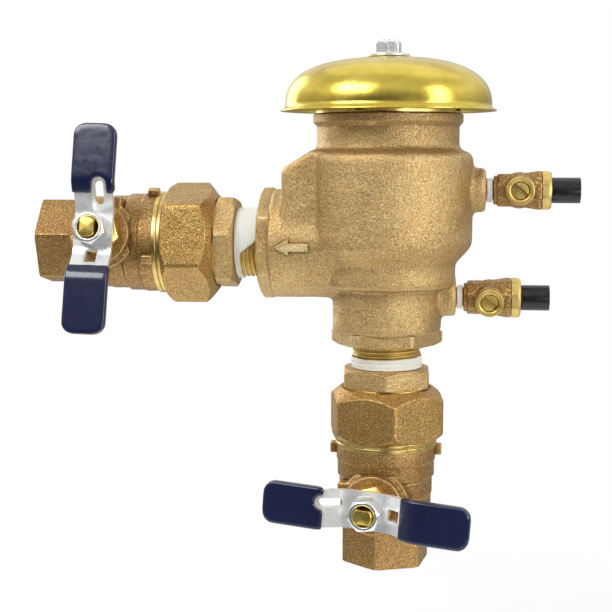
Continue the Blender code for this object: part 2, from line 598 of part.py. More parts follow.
def check_valve():
    """Spring-closed poppet over the inlet seat, guided from a drilled plate on the body's ledge."""
    seat = CHECK_SEAT_Z
    axis = pivot("check_axis", at(0, 0, seat))
    disc = turned("check_disc", [(0.0205, seat + 0.0033), (0.0205, seat + GAP), (0.0063, seat + GAP),
                                 (0.0063, seat + 0.0033)], WORLD, "rubber", steps=20)
    poppet = turned("check_poppet", [
        (0, 0.1820), (0.0042, 0.1820), (0.0050, 0.1810), (0.0050, seat + 0.0066), (0.0222, seat + 0.0066),
        (0.0222, seat + 0.0036), (0.0060, seat + 0.0036), (0.0060, seat - 0.0028), (0, seat - 0.0028)],
        WORLD, "acetal", steps=20, closed=False)
    retainer = turned("check_retainer", [(0.0132, seat - GAP), (0.0125, seat - 0.0025),
                                         (0.0063, seat - 0.0025), (0.0063, seat - GAP)],
                      WORLD, "stainless", steps=16)
    for piece in (disc, poppet, retainer):
        hang(piece, axis)
    coil("check_spring", 0.0120, 0.0020, seat + 0.0070, 0.1918, 5, WORLD, "stainless")
    plate = turned("guide_plate", [
        (0, 0.1953), (0.0313, 0.1953), (0.0313, 0.1923), (0.0075, 0.1923), (0.0075, 0.1720),
        (0.0054, 0.1720), (0.0054, 0.1923), (0, 0.1923)], WORLD, "acetal", steps=20, closed=False)
    for i in range(6):
        spin = Matrix.Rotation(radians(60 * i), 4, "Z")
        cut(plate, rod(f"guide_hole_{i}", 0.0052, 0.19, 0.20, spin @ at(0.0215, 0, 0), steps=12))


def air_valve():
    """Float poppet that drops when the line is empty and lets air in through the bonnet."""
    rest = 0.1962
    axis = pivot("air_axis", at(0, 0, rest))
    poppet = turned("air_poppet", [
        (0, rest + 0.0013), (STUD_R + GAP, rest + 0.0013), (STUD_R + GAP, rest + 0.0098),
        (0.0070, rest + 0.0098), (0.0070, rest + 0.0030), (0.0240, rest + 0.0030), (0.0240, rest),
        (0, rest)], WORLD, "acetal", steps=20, closed=False)
    disc = turned("air_disc", [(0.0235, rest + 0.0061), (0.0235, rest + 0.0033), (0.0073, rest + 0.0033),
                               (0.0073, rest + 0.0061)], WORLD, "rubber", steps=20)
    retainer = turned("air_retainer", [(0.0135, rest + 0.0084), (0.0140, rest + 0.0064),
                                       (0.0073, rest + 0.0064), (0.0073, rest + 0.0084)],
                      WORLD, "stainless", steps=16)
    for piece in (poppet, disc, retainer):
        hang(piece, axis)
    coil("air_spring", 0.0094, 0.0009, rest + 0.0087, 0.2137, 3, WORLD, "stainless")


# ---- test cocks -------------------------------------------------------------------------------------
def test_cock(name, cock):
    """Quarter-turn cock screwed in a boss: body, tape, slotted plug, gland and black cap."""
    frame = (at(cock["boss_end"], 0, cock["height"]) @ Matrix.Rotation(radians(90), 4, "Y")
             @ Matrix.Rotation(cock["roll"], 4, "Z"))
    head_z, plug_r = 0.0160, 0.0040
    label = name + "_cock"
    turned(label + "_tape", [(0.0062, 0.0031), (0.0065, GAP), (0.0050, GAP), (0.0050, 0.0031)],
           frame, "ptfe", steps=14)
    body = turned(label + "_body", [
        (0, 0.0440), (0.0040, 0.0440), (0.0040, 0.0308), (0.0088, 0.0308), (0.0098, 0.0298),
        (0.0098, 0.0255), (0.0092, 0.0225), (0.0086, 0.0185), (0.0086, 0.0055), (0.0070, 0.0036),
        (0.0047, 0.0036), (0.0047, -0.0080), (0, -0.0080)], frame, "valve_bronze", steps=16, closed=False)
    stem_frame = frame @ at(0, 0, head_z) @ OUTWARD
    join(body, rod(label + "_head", 0.0070, 0.0, 0.0090, stem_frame, steps=24))
    cut(body, rod(label + "_bore", 0.0016, -0.01, 0.05, frame, steps=12))
    cut(body, turned(label + "_plug_seat", [
        (0, 0.0095), (0.0053, 0.0095), (0.0053, 0.0062), (plug_r + GAP, 0.0062),
        (plug_r + GAP, -0.0055), (0, -0.0055)], stem_frame, steps=20, closed=False))
    axis = pivot(label + "_axis", stem_frame)
    plug = turned(label + "_stem", [(0, 0.0103), (0.0036, 0.0103), (plug_r, 0.0099), (plug_r, -0.0050),
                                    (0, -0.0050)], stem_frame, "machined_brass", steps=20, closed=False)
    spin = stem_frame @ Matrix.Rotation(radians(-40), 4, "Z")
    cut(plug, box(label + "_slot", (-0.0006, -0.0060, 0.0090), (0.0006, 0.0060, 0.0120), spin))
    cut(plug, rod(label + "_way", 0.0013, -0.006, 0.006, spin @ OUTWARD, steps=12))
    hang(plug, axis)
    turned(label + "_gland", [
        (0.0060, 0.0112), (0.0067, 0.0106), (0.0067, 0.0093), (0.0050, 0.0093), (0.0050, 0.0066),
        (plug_r + GAP, 0.0066), (plug_r + GAP, 0.0112)], stem_frame, "machined_brass", steps=16)
    turned(label + "_cap", [
        (0.0055, COCK_LENGTH), (0.0061, COCK_LENGTH - 0.0006), (0.0061, 0.0311), (0.0043, 0.0311),
        (0.0043, COCK_LENGTH)], frame, "black_plastic", steps=16)


OUTLET_FRAME = Matrix(((0, 0, 1, -SHUTOFF_LENGTH - OUTLET_FACE),
                       (-sin(STEM_LEAN_OUTLET), cos(STEM_LEAN_OUTLET), 0, 0),
                       (-cos(STEM_LEAN_OUTLET), -sin(STEM_LEAN_OUTLET), 0, OUTLET_HEIGHT),
                       (0, 0, 0, 1)))
INLET_FRAME = Matrix.Rotation(STEM_LEAN_INLET, 4, "Z")

casting = main_body(at(-SHUTOFF_LENGTH - OUTLET_FACE, 0, OUTLET_HEIGHT) @ Matrix.Rotation(radians(90), 4, "Y"))
join(casting, sheet("arrow", flow_arrow(), 0.0050, at(0, -0.0247, 0.1562) @ OUTWARD))
bonnet_and_hood()
check_valve()
air_valve()
shutoff("inlet", INLET_FRAME, lug_turn=radians(10), nut_turn=radians(47), tail_turn=radians(43))
shutoff("outlet", OUTLET_FRAME, lug_turn=radians(117), nut_turn=radians(2), tail_turn=radians(29))
for cock_name, cock_place in COCKS.items():
    test_cock(cock_name, cock_place)
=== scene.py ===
"""Looks of a one-inch pressure vacuum breaker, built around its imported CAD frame.

Shapes are worked out in millimetres in their own frames, and are scaled to metres when they are placed.
"""

import json
from math import atan2, cos, hypot, pi, radians, sin, sqrt
import bmesh
import bpy
import numpy as np
from mathutils import Matrix, Vector, noise


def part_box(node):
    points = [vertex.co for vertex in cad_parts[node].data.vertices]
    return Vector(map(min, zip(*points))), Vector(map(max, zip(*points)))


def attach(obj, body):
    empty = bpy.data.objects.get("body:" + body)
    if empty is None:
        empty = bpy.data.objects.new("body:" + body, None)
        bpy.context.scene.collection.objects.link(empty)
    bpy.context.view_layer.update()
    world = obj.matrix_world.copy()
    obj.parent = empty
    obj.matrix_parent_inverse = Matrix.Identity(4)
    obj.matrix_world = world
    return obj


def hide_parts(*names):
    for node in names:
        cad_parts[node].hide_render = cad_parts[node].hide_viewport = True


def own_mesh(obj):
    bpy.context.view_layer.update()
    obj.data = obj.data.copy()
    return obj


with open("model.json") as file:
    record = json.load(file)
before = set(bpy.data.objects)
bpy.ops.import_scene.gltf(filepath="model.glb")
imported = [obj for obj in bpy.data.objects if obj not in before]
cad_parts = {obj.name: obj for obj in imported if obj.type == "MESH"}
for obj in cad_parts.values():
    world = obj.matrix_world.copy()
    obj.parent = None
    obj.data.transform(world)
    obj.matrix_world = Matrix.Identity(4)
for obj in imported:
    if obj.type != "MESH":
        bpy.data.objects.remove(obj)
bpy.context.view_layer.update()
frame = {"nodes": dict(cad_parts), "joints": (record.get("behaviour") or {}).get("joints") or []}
NODES = frame["nodes"]
JOINTS = {joint["name"]: joint for joint in frame["joints"]}
noise.seed_set(1)       # noise_vector would differ from run to run without it


# ---- shapes: (points, faces) in millimetres ---------------------------------------------------------
def merged(*shapes):
    """Several shapes as one, without joining them."""
    points, faces, start = [], [], 0
    for shape_points, shape_faces in shapes:
        points.append(shape_points)
        faces += [tuple(i + start for i in face) for face in shape_faces]
        start += len(shape_points)
    return np.vstack(points), faces


def moved(shape, matrix):
    points, faces = shape
    m = np.array(matrix)
    return points @ m[:3, :3].T + m[:3, 3], faces


def skin(rings, closed):
    """Surface through rings of points. An open one gets a fan of faces over each end."""
    rings = np.asarray(rings, float)
    count, steps = rings.shape[:2]
    points = rings.reshape(-1, 3)
    faces = []
    for i in range(count if closed else count - 1):
        a, b = i * steps, (i + 1) % count * steps
        faces += [(a + j, a + (j + 1) % steps, b + (j + 1) % steps, b + j) for j in range(steps)]
    if not closed:
        points = np.vstack([points, rings[0].mean(0), rings[-1].mean(0)])
        first, last, base = len(points) - 2, len(points) - 1, (count - 1) * steps
        faces += [(first, (j + 1) % steps, j) for j in range(steps)]
        faces += [(last, base + j, base + (j + 1) % steps) for j in range(steps)]
    return points, faces


def softened(line, size, closed, cuts=3):
    """Round each corner of a 2D line over that length, always with the same number of points."""
    sizes = size if isinstance(size, (list, tuple)) else [size] * len(line)
    made = []
    for i, corner in enumerate(line):
        if not closed and i in (0, len(line) - 1):
            made.append(corner)
            continue
        before, after = line[i - 1], line[(i + 1) % len(line)]
        span = min(hypot(before[0] - corner[0], before[1] - corner[1]),
                   hypot(after[0] - corner[0], after[1] - corner[1]))
        reach = max(min(sizes[i], 0.45 * span), 0.0001)
        ends = []
        for other in (before, after):
            length = max(hypot(other[0] - corner[0], other[1] - corner[1]), 1e-9)
            ends.append((corner[0] + (other[0] - corner[0]) * reach / length,
                         corner[1] + (other[1] - corner[1]) * reach / length))
        for k in range(cuts + 1):
            t = k / cuts
            made.append(tuple((1 - t) ** 2 * ends[0][d] + 2 * t * (1 - t) * corner[d] + t * t * ends[1][d]
                              for d in (0, 1)))
    return made


def polar(section, steps=144, soft=0.3, closed=True):
    """Shape whose (radius, z) section may differ at each angle about Z."""
    columns = []
    for j in range(steps):
        angle = 2 * pi * j / steps
        line = section(angle)
        if soft:
            line = softened(line, soft, closed)
        if not closed:
            line = line[1:-1]
        columns.append([(r * cos(angle), r * sin(angle), z) for r, z in line])
    return skin(np.array(columns).transpose(1, 0, 2), closed)


def lathe(line, steps=96, soft=0.3, closed=False):
    """Turn a (radius, z) line about Z. An open one starts and ends on the axis."""
    if soft:
        line = softened(line, soft, closed)
    if not closed:
        line = line[1:-1]
    radius, height = np.array(line, float).T
    angle = np.arange(steps) * 2 * pi / steps
    rings = np.stack([np.outer(radius, np.cos(angle)), np.outer(radius, np.sin(angle)),
                      np.outer(height, np.ones(steps))], -1)
    return skin(rings, closed)


def rod(radius, z0, z1, steps=64, soft=0.2):
    return lathe([(0, z0), (radius, z0), (radius, z1), (0, z1)], steps, soft)


def prism(outline, z0, z1):
    """Flat outline made thick along Z."""
    low = [(x, y, z0) for x, y in outline]
    high = [(x, y, z1) for x, y in outline]
    count = len(outline)
    faces = [tuple(range(count))[::-1], tuple(range(count, 2 * count))]
    faces += [(i, (i + 1) % count, count + (i + 1) % count, count + i) for i in range(count)]
    return np.array(low + high, float), faces


def block(low, high):
    outline = [(low[0], low[1]), (high[0], low[1]), (high[0], high[1]), (low[0], high[1])]
    return prism(outline, low[2], high[2])


def flat_reach(angle, across_flats, turn=0.0, sides=6, crisp=60):
    """Radius of a polygon with slightly rounded corners, at an angle. At turn 0 a corner is on +X."""
    total = 0.0
    for k in range(sides):
        facing = cos(angle - turn - pi / sides - 2 * pi * k / sides)
        if facing > 0.5:
            total += facing ** crisp
    return across_flats / 2 / total ** (1 / crisp)


def nut_side(angle, across_flats, z0, z1, low, high, turn=0.0, crisp=60):
    """Outside of a nut at one angle, top to bottom. low and high are (face radius, chamfer height)."""
    reach = flat_reach(angle, across_flats, turn, crisp=crisp)
    corner = across_flats / 2 / cos(pi / 6)

    def drop(chamfer):
        return max(chamfer[1] * (reach - chamfer[0]) / (corner - chamfer[0]), 0.12)

    return [(min(high[0], reach - 0.15), z1), (reach, z1 - drop(high)),
            (reach, z0 + drop(low)), (min(low[0], reach - 0.15), z0)]


def nut(across_flats, z0, z1, bore, low, high, turn=0.0, soft=0.25):
    """Nut with a chamfered bore."""
    def section(angle):
        side = nut_side(angle, across_flats, z0, z1, low, high, turn)
        return [(bore + 0.5, z1)] + side + [(bore + 0.5, z0), (bore, z0 + 0.5), (bore, z1 - 0.5)]

    return polar(section, soft=soft)


def threaded(root, crest, pitch, z0, z1, bore, steps, start, end):
    """Tube with a male thread. start and end are the lengths over which the thread fades out."""
    rings = max(int((z1 - z0) / pitch * 8), 8)
    heights = [z0 + (z1 - z0) * i / rings for i in range(rings + 1)]

    def section(angle):
        line = []
        for z in heights:
            turn = (z / pitch - angle / (2 * pi)) % 1
            ridge = min(max(abs(2 * turn - 1) * 1.3 - 0.15, 0), 1)
            fade = min((z - z0) / start, (z1 - z) / end, 1)
            line.append((root + (crest - root) * ridge * fade, z))
        return [(bore, z0)] + line + [(bore, z1)]

    return polar(section, steps, None)


def female_thread(outer, root, crest, pitch, z0, z1):
    """Thin liner with a female thread on its inside, root being its largest radius."""
    rings = max(int((z1 - z0) / pitch * 8), 8)
    heights = [z0 + (z1 - z0) * i / rings for i in range(rings + 1)]

    def section(angle):
        line = []
        for z in heights:
            turn = (z / pitch - angle / (2 * pi)) % 1
            ridge = min(max(abs(2 * turn - 1) * 1.3 - 0.15, 0), 1)
            mouth = min((z - z0) / pitch, 1)
            line.append((root - (root - crest) * ridge * mouth, z))
        return [(outer, z0)] + line + [(outer, z1)]

    return polar(section, 96, None)


def to_mesh(name, shape):
    mesh = bpy.data.meshes.new(name)
    mesh.from_pydata(shape[0].tolist(), [], shape[1])
    bm = bmesh.new()
    bm.from_mesh(mesh)
    bmesh.ops.recalc_face_normals(bm, faces=bm.faces)
    bm.to_mesh(mesh)
    bm.free()
    return mesh


def scratch(shape):
    made = bpy.data.objects.new("scratch", to_mesh("scratch", shape))
    bpy.context.scene.collection.objects.link(made)
    return made


def evaluated(made):
    """The shape of an object after its modifiers; the object is removed."""
    bpy.context.view_layer.update()
    mesh = bpy.data.meshes.new_from_object(made.evaluated_get(bpy.context.evaluated_depsgraph_get()))
    points = np.empty(len(mesh.vertices) * 3)
    mesh.vertices.foreach_get("co", points)
    faces = [tuple(polygon.vertices) for polygon in mesh.polygons]
    data = made.data
    bpy.data.objects.remove(made)
    bpy.data.meshes.remove(data)
    bpy.data.meshes.remove(mesh)
    return points.reshape(-1, 3), faces


def carved(shape, operation, *tools):
    """Boolean with each tool in turn."""
    target = scratch(shape)
    others = [scratch(tool) for tool in tools]
    for other in others:
        modifier = target.modifiers.new("boolean", "BOOLEAN")
        modifier.operation = operation
        modifier.solver = "MANIFOLD"
        modifier.object = other
        other.hide_render = True
    made = evaluated(target)
    for other in others:
        data = other.data
        bpy.data.objects.remove(other)
        bpy.data.meshes.remove(data)
    return made


def cast(shapes, voxel, rounds, bumps=0.0, size=9.0):
    """Overlapping closed shapes melted into one casting with filleted junctions and an uneven skin."""
    target = scratch(merged(*shapes))
    modifier = target.modifiers.new("melt", "REMESH")
    modifier.mode = "VOXEL"
    modifier.voxel_size = voxel * 1
    modifier = target.modifiers.new("round", "SMOOTH")
    modifier.factor = 0.5
    modifier.iterations = rounds
    points, faces = evaluated(target)
    if bumps:
        shift = [noise.noise_vector(Vector(point) / size) for point in points]
        points = points + bumps * np.array(shift)
    return points, faces


def bevelled(shape, width, segments=2, angle=35):
    target = scratch(shape)
    modifier = target.modifiers.new("bevel", "BEVEL")
    modifier.width = width
    modifier.segments = segments
    modifier.limit_method = "ANGLE"
    modifier.angle_limit = radians(angle)
    return evaluated(target)


def place_of(matrix):
    """A frame in millimetres as one in metres."""
    made = matrix.copy()
    made.translation = matrix.translation / 1000
    return made


def piece(name, shape, finish, body, replaced=(), place=None, sharp=40, even=False):
    """Put a shape in the scene: scaled to metres, given its finish and fixed to its CAD body."""
    points, faces = shape
    made = bpy.data.objects.new(name, to_mesh(name, (points / 1000, faces)))
    bpy.context.scene.collection.objects.link(made)
    made.data.materials.append(FINISHES[finish])
    made.data.shade_smooth()
    made.data.set_sharp_from_angle(angle=radians(sharp))
    if even:
        modifier = made.modifiers.new("even", "WEIGHTED_NORMAL")
        modifier.keep_sharp = True
        modifier.weight = 100
    if place is not None:
        made.matrix_world = place_of(place)
    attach(made, body)
    if replaced:
        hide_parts(*replaced)
    return made


def at(x, y, z):
    return Matrix.Translation((x, y, z))


def spun(degrees, axis="Z"):
    return Matrix.Rotation(radians(degrees), 4, axis)


# ---- materials ----------------------------------------------------------------------------------------
class Nodes:
    """Short ways to add nodes to a tree and join them."""

    def __init__(self, tree):
        self.tree = tree

    def node(self, kind, **settings):
        made = self.tree.nodes.new(kind)
        for key, value in settings.items():
            setattr(made, key, value)
        return made

    def feed(self, socket, value):
        if isinstance(value, bpy.types.NodeSocket):
            self.tree.links.new(value, socket)
        else:
            socket.default_value = value

    def span(self, value, low, high, to_low=0.0, to_high=1.0):
        made = self.node("ShaderNodeMapRange")
        self.feed(made.inputs["Value"], value)
        for key, number in (("From Min", low), ("From Max", high), ("To Min", to_low), ("To Max", to_high)):
            made.inputs[key].default_value = number
        return made.outputs["Result"]

    def sum(self, a, b, operation="ADD"):
        made = self.node("ShaderNodeMath", operation=operation)
        self.feed(made.inputs[0], a)
        self.feed(made.inputs[1], b)
        return made.outputs[0]

    def ramp(self, value, *stops):
        made = self.node("ShaderNodeValToRGB")
        self.feed(made.inputs["Fac"], value)
        band = made.color_ramp
        while len(band.elements) < len(stops):
            band.elements.new(0.5)
        for element, (where, colour) in zip(band.elements, stops):
            element.position = where
            element.color = (*colour, 1)
        return made.outputs["Color"]

    def blend(self, share, a, b):
        made = self.node("ShaderNodeMix", data_type="RGBA")
        self.feed(made.inputs[0], share)
        for socket, value in ((made.inputs[6], a), (made.inputs[7], b)):
            self.feed(socket, value if isinstance(value, bpy.types.NodeSocket) else (*value, 1))
        return made.outputs[2]


class Finish(Nodes):
    """A node material in the making. Sizes of patterns are in millimetres."""

    def __init__(self, name):
        self.material = bpy.data.materials.new(name)
        self.material.use_nodes = True
        super().__init__(self.material.node_tree)
        self.shader = self.tree.nodes["Principled BSDF"]
        self.place = self.node("ShaderNodeTexCoord").outputs["Object"]

    def stretched(self, x, y, z):
        made = self.node("ShaderNodeVectorMath", operation="MULTIPLY")
        self.feed(made.inputs[0], self.place)
        made.inputs[1].default_value = (x, y, z)
        return made.outputs[0]

    def grain(self, size, detail=2.0, rough=0.5, place=None, warp=0.0):
        made = self.node("ShaderNodeTexNoise")
        self.feed(made.inputs["Vector"], place or self.place)
        made.inputs["Scale"].default_value = 1000 / size
        made.inputs["Detail"].default_value = detail
        made.inputs["Roughness"].default_value = rough
        made.inputs["Distortion"].default_value = warp
        return made.outputs["Fac"]

    def cells(self, size):
        made = self.node("ShaderNodeTexVoronoi")
        self.feed(made.inputs["Vector"], self.place)
        made.inputs["Scale"].default_value = 1000 / size
        return made.outputs["Distance"]

    def edge_pointiness(self):
        """How far an edge stands proud: about 0.5 on a flat face, more on an edge."""
        return self.node("ShaderNodeNewGeometry").outputs["Pointiness"]

    def occlusion_shade(self, reach, low, high, most):
        """Share of painted shade in corners and slots, from ambient occlusion: most where hemmed in, none in
        the open.
        """
        made = self.node("ShaderNodeAmbientOcclusion", samples=6, only_local=True)
        made.inputs["Distance"].default_value = reach / 1000
        return self.span(made.outputs["AO"], low, high, most, 0.0)

    def bumps(self, *layers):
        """Each layer is (height, depth in millimetres)."""
        normal = None
        for height, depth in layers:
            made = self.node("ShaderNodeBump")
            made.inputs["Distance"].default_value = depth / 1000
            self.feed(made.inputs["Height"], height)
            if normal:
                self.feed(made.inputs["Normal"], normal)
            normal = made.outputs["Normal"]
        self.feed(self.shader.inputs["Normal"], normal)

    def set(self, **values):
        for key, value in values.items():
            self.feed(self.shader.inputs[key.replace("_", " ")], value)
        return self.material


def cast_metal(name, dark, mid, light, glint, metal, depth, rough):
    """Sand-cast bronze: uneven tone and grain with painted glints, edges smoother from wear and brighter
    with a painted highlight, and painted shade in corners and slots.
    """
    f = Finish(name)
    tone = f.sum(f.grain(26, 3.0, 0.55), f.sum(f.grain(5.5, 3.0, 0.6), 0.35, "MULTIPLY"))
    tone = f.span(tone, 0.25, 1.10)
    sand = f.grain(0.95, 3.0, 0.75)
    fine = f.grain(0.42, 1.5, 0.6)
    colour = f.ramp(tone, (0.05, dark), (0.5, mid), (0.95, light))
    colour = f.blend(f.span(sand, 0.38, 0.58, 0.65, 0.0), colour, tuple(c * 0.72 for c in dark))
    # painted glints: specks of the finest grain turn the bright highlight colour
    colour = f.blend(f.span(fine, 0.53, 0.66, 0.0, 0.95), colour, glint)
    # edges: smoother from wear, and lifted towards the glint colour as a painted highlight
    edge = f.span(f.edge_pointiness(), 0.515, 0.58, 0.0, 0.60)
    colour = f.blend(edge, colour, glint)
    pits = f.span(f.cells(2.6), 0.0, 0.20, 1.0, 0.0)
    colour = f.blend(f.sum(pits, 0.35, "MULTIPLY"), colour, tuple(c * 0.45 for c in dark))
    # painted shade: darker in the large fillets, and darker still in slots and narrow corners
    colour = f.blend(f.occlusion_shade(9.0, 0.55, 0.96, 0.45), colour, tuple(c * 0.55 for c in dark))
    colour = f.blend(f.occlusion_shade(1.6, 0.45, 0.92, 0.70), colour, tuple(c * 0.40 for c in dark))
    f.bumps((sand, depth), (fine, depth * 0.45), (f.grain(3.4, 2.0, 0.5), depth * 1.2))
    return f.set(Base_Color=colour, Metallic=metal,
                 Roughness=f.sum(f.span(fine, 0.35, 0.65, rough + 0.10, rough - 0.10),
                                 f.sum(edge, 0.15, "MULTIPLY"), "SUBTRACT"))


def turned_metal(name, dark, light, rough, lines, smudge=0.12):
    """Machined metal: fine rings from the tool, with a slightly tarnished, handled tone."""
    f = Finish(name)
    ring = f.grain(lines, 3.0, 0.6, f.stretched(0.02, 0.02, 1.0))
    stain = f.grain(7, 3.0, 0.6)
    colour = f.ramp(f.sum(f.sum(stain, 0.75, "MULTIPLY"), f.sum(ring, 0.25, "MULTIPLY")),
                    (0.30, dark), (0.62, light))
    # painted shade: darker in slots and corners
    colour = f.blend(f.occlusion_shade(1.8, 0.35, 0.90, 0.80), colour, tuple(c * 0.30 for c in dark))
    scratch_lines = f.grain(0.6, 2.0, 0.7, f.stretched(1.0, 1.0, 0.08))
    f.bumps((ring, 0.010), (scratch_lines, 0.006))
    return f.set(Base_Color=colour, Metallic=1.0,
                 Roughness=f.span(stain, 0.30, 0.70, rough, rough + smudge))


def hood_metal():
    """Spun, polished brass with faint spinning rings, hand smudges and a little waviness."""
    f = Finish("hood_brass")
    ring = f.grain(1.1, 3.0, 0.6, f.stretched(0.03, 0.03, 1.0))
    smudge = f.grain(16, 4.0, 0.62, warp=0.6)
    speck = f.span(f.cells(3.1), 0.0, 0.10, 1.0, 0.0)
    colour = f.ramp(smudge, (0.25, (0.62, 0.44, 0.065)), (0.55, (0.78, 0.60, 0.105)),
                    (0.80, (0.90, 0.74, 0.18)))
    colour = f.blend(f.sum(speck, 0.30, "MULTIPLY"), colour, (0.40, 0.26, 0.05))
    rough = f.span(smudge, 0.35, 0.70, 0.20, 0.30)
    f.bumps((ring, 0.004), (f.grain(22, 2.0, 0.5), 0.05))
    return f.set(Base_Color=colour, Metallic=1.0, Roughness=f.sum(rough, f.sum(speck, 0.1, "MULTIPLY")))


def plated_metal(name, metal):
    """Bright zinc plate: pale, a little mottled, with rub marks and a warm cast in places."""
    f = Finish(name)
    mottle = f.grain(3.2, 4.0, 0.65, warp=0.8)
    tint = f.grain(11, 2.0, 0.5)
    colour = f.ramp(mottle, (0.30, (0.84, 0.86, 0.87)), (0.55, (0.95, 0.96, 0.95)),
                    (0.85, (0.98, 0.98, 0.96)))
    colour = f.blend(f.span(tint, 0.52, 0.75, 0.0, 0.30), colour, (0.80, 0.74, 0.58))
    rub = f.grain(0.8, 3.0, 0.7, f.stretched(0.12, 1.0, 1.0))
    f.bumps((mottle, 0.012), (rub, 0.005))
    return f.set(Base_Color=colour, Metallic=metal, Roughness=f.span(mottle, 0.30, 0.70, 0.30, 0.18))


def dipped_vinyl():
    """Thick glossy navy dip coating with sags and a few dimples."""
    f = Finish("vinyl")
    sag = f.grain(13, 2.0, 0.45)
    peel = f.grain(2.4, 2.0, 0.5)
    dent = f.span(f.cells(15), 0.0, 0.075, 0.0, 1.0)
    colour = f.ramp(sag, (0.30, (0.008, 0.011, 0.042)), (0.70, (0.012, 0.017, 0.062)))
    f.bumps((sag, 0.22), (peel, 0.006), (dent, 0.14))
    return f.set(Base_Color=colour, Roughness=f.span(peel, 0.30, 0.70, 0.13, 0.22), Specular_IOR_Level=0.6,
                 Coat_Weight=0.4, Coat_Roughness=0.05)


def wrapped_tape():
    """PTFE thread tape: off-white, wrapped in overlapping turns, pressed into the thread."""
    f = Finish("ptfe")
    wrap = f.grain(1.5, 3.0, 0.6, f.stretched(0.06, 0.06, 1.0), warp=0.4)
    crease = f.grain(1.2, 4.0, 0.7)
    colour = f.ramp(crease, (0.25, (0.88, 0.86, 0.76)), (0.60, (0.96, 0.95, 0.88)),
                    (0.85, (0.98, 0.98, 0.94)))
    f.bumps((wrap, 0.16), (crease, 0.05))
    return f.set(Base_Color=colour, Roughness=f.span(crease, 0.3, 0.7, 0.42, 0.60), Subsurface_Weight=0.15,
                 Subsurface_Scale=0.002)


def plain_plastic(name, dark, light, rough, size, depth):
    """Moulded plastic or rubber with a fine texture and slightly uneven gloss."""
    f = Finish(name)
    skin_grain = f.grain(size, 3.0, 0.6)
    cloud = f.grain(6, 3.0, 0.6)
    colour = f.ramp(cloud, (0.3, dark), (0.7, light))
    f.bumps((skin_grain, depth))
    return f.set(Base_Color=colour, Roughness=f.span(cloud, 0.3, 0.7, rough, rough + 0.12))


def pale_floor():
    """Plain pale floor under the object that fades out around it."""
    f = Finish("pale_floor")
    colour = f.ramp(f.grain(60, 3.0, 0.5), (0.3, (0.90, 0.90, 0.90)), (0.7, (0.92, 0.92, 0.92)))
    far = f.node("ShaderNodeVectorMath", operation="LENGTH")
    f.feed(far.inputs[0], f.place)
    cover = f.node("ShaderNodeMapRange", interpolation_type="SMOOTHSTEP")
    f.feed(cover.inputs["Value"], far.outputs["Value"])
    for key, number in (("From Min", 0.18), ("From Max", 0.62), ("To Min", 1.0), ("To Max", 0.0)):
        cover.inputs[key].default_value = number
    return f.set(Base_Color=colour, Roughness=0.7, Alpha=cover.outputs["Result"])


FINISHES = {
    "cast_bronze": cast_metal("cast_bronze", (0.38, 0.220, 0.076), (0.67, 0.420, 0.158),
                              (0.82, 0.570, 0.238), (1.00, 0.84, 0.46), 0.80, 0.34, 0.42),
    "union_bronze": cast_metal("union_bronze", (0.27, 0.138, 0.036), (0.47, 0.268, 0.080),
                               (0.62, 0.385, 0.135), (1.00, 0.74, 0.28), 0.88, 0.24, 0.38),
    "valve_bronze": cast_metal("valve_bronze", (0.21, 0.103, 0.029), (0.39, 0.208, 0.063),
                               (0.55, 0.320, 0.108), (0.95, 0.66, 0.28), 0.80, 0.20, 0.42),
    "machined_brass": turned_metal("machined_brass", (0.58, 0.40, 0.11), (0.92, 0.71, 0.27), 0.24, 0.9),
    "end_brass": turned_metal("end_brass", (0.60, 0.42, 0.11), (0.90, 0.70, 0.27), 0.36, 1.2, 0.18),
    "cock_brass": turned_metal("cock_brass", (0.66, 0.46, 0.12), (0.94, 0.73, 0.26), 0.36, 0.7, 0.16),
    "stem_brass": turned_metal("stem_brass", (0.62, 0.42, 0.07), (0.90, 0.70, 0.20), 0.24, 0.9),
    "hood_brass": hood_metal(),
    "zinc_plate": plated_metal("zinc_plate", 0.55),
    "zinc_nut": plated_metal("zinc_nut", 0.92),
    "stainless": turned_metal("stainless", (0.42, 0.42, 0.42), (0.66, 0.65, 0.63), 0.20, 0.7),
    "vinyl": dipped_vinyl(),
    "ptfe": wrapped_tape(),
    "rubber": plain_plastic("rubber", (0.012, 0.012, 0.012), (0.028, 0.027, 0.026), 0.55, 0.5, 0.02),
    "black_plastic": plain_plastic("black_plastic", (0.008, 0.008, 0.009), (0.016, 0.016, 0.018),
                                   0.20, 1.4, 0.02),
    "acetal": plain_plastic("acetal", (0.52, 0.52, 0.48), (0.64, 0.63, 0.58), 0.38, 0.6, 0.01),
}


# ---- anchors from the CAD frame -------------------------------------------------------------------------
def box_mm(node):
    low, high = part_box(node)
    return low * 1000, high * 1000


BALL_Z = JOINTS["inlet_handle_turn"]["pos_m"][2] * 1000
OUTLET_HEIGHT = JOINTS["outlet_handle_turn"]["pos_m"][2] * 1000
OUTLET_END = JOINTS["outlet_handle_turn"]["pos_m"][0] * 1000 - BALL_Z
PORT_Z = box_mm("body")[0].z
OUTLET_FACE = -box_mm("body")[0].x
LIP_TOP = box_mm("body")[1].z
RIM_Z = box_mm("canopy")[0].z
RIM_R = box_mm("canopy")[1].x
CANOPY_TOP = box_mm("canopy")[1].z
OUTWARD = spun(90, "X")
GAP = 0.3
PIPE_PITCH = 2.209                                      # 11.5 threads an inch
PIPE_HEX, PORT_HEX, UNION_HEX, TAIL_HEX = 38.3, 47.0, 52.0, 41.0
GLAND_HEX, HANDLE_HEX, HOOD_HEX = 20.0, 14.3, 11.2      # hexagons across their flats
LEAN = {"inlet": -10, "outlet": 12}
TILT = {"inlet": 4, "outlet": 1.5}
PIPE = {
    "inlet": spun(LEAN["inlet"]),
    "outlet": at(OUTLET_END, 0, OUTLET_HEIGHT) @ spun(90, "Y") @ spun(-LEAN["outlet"]),
}
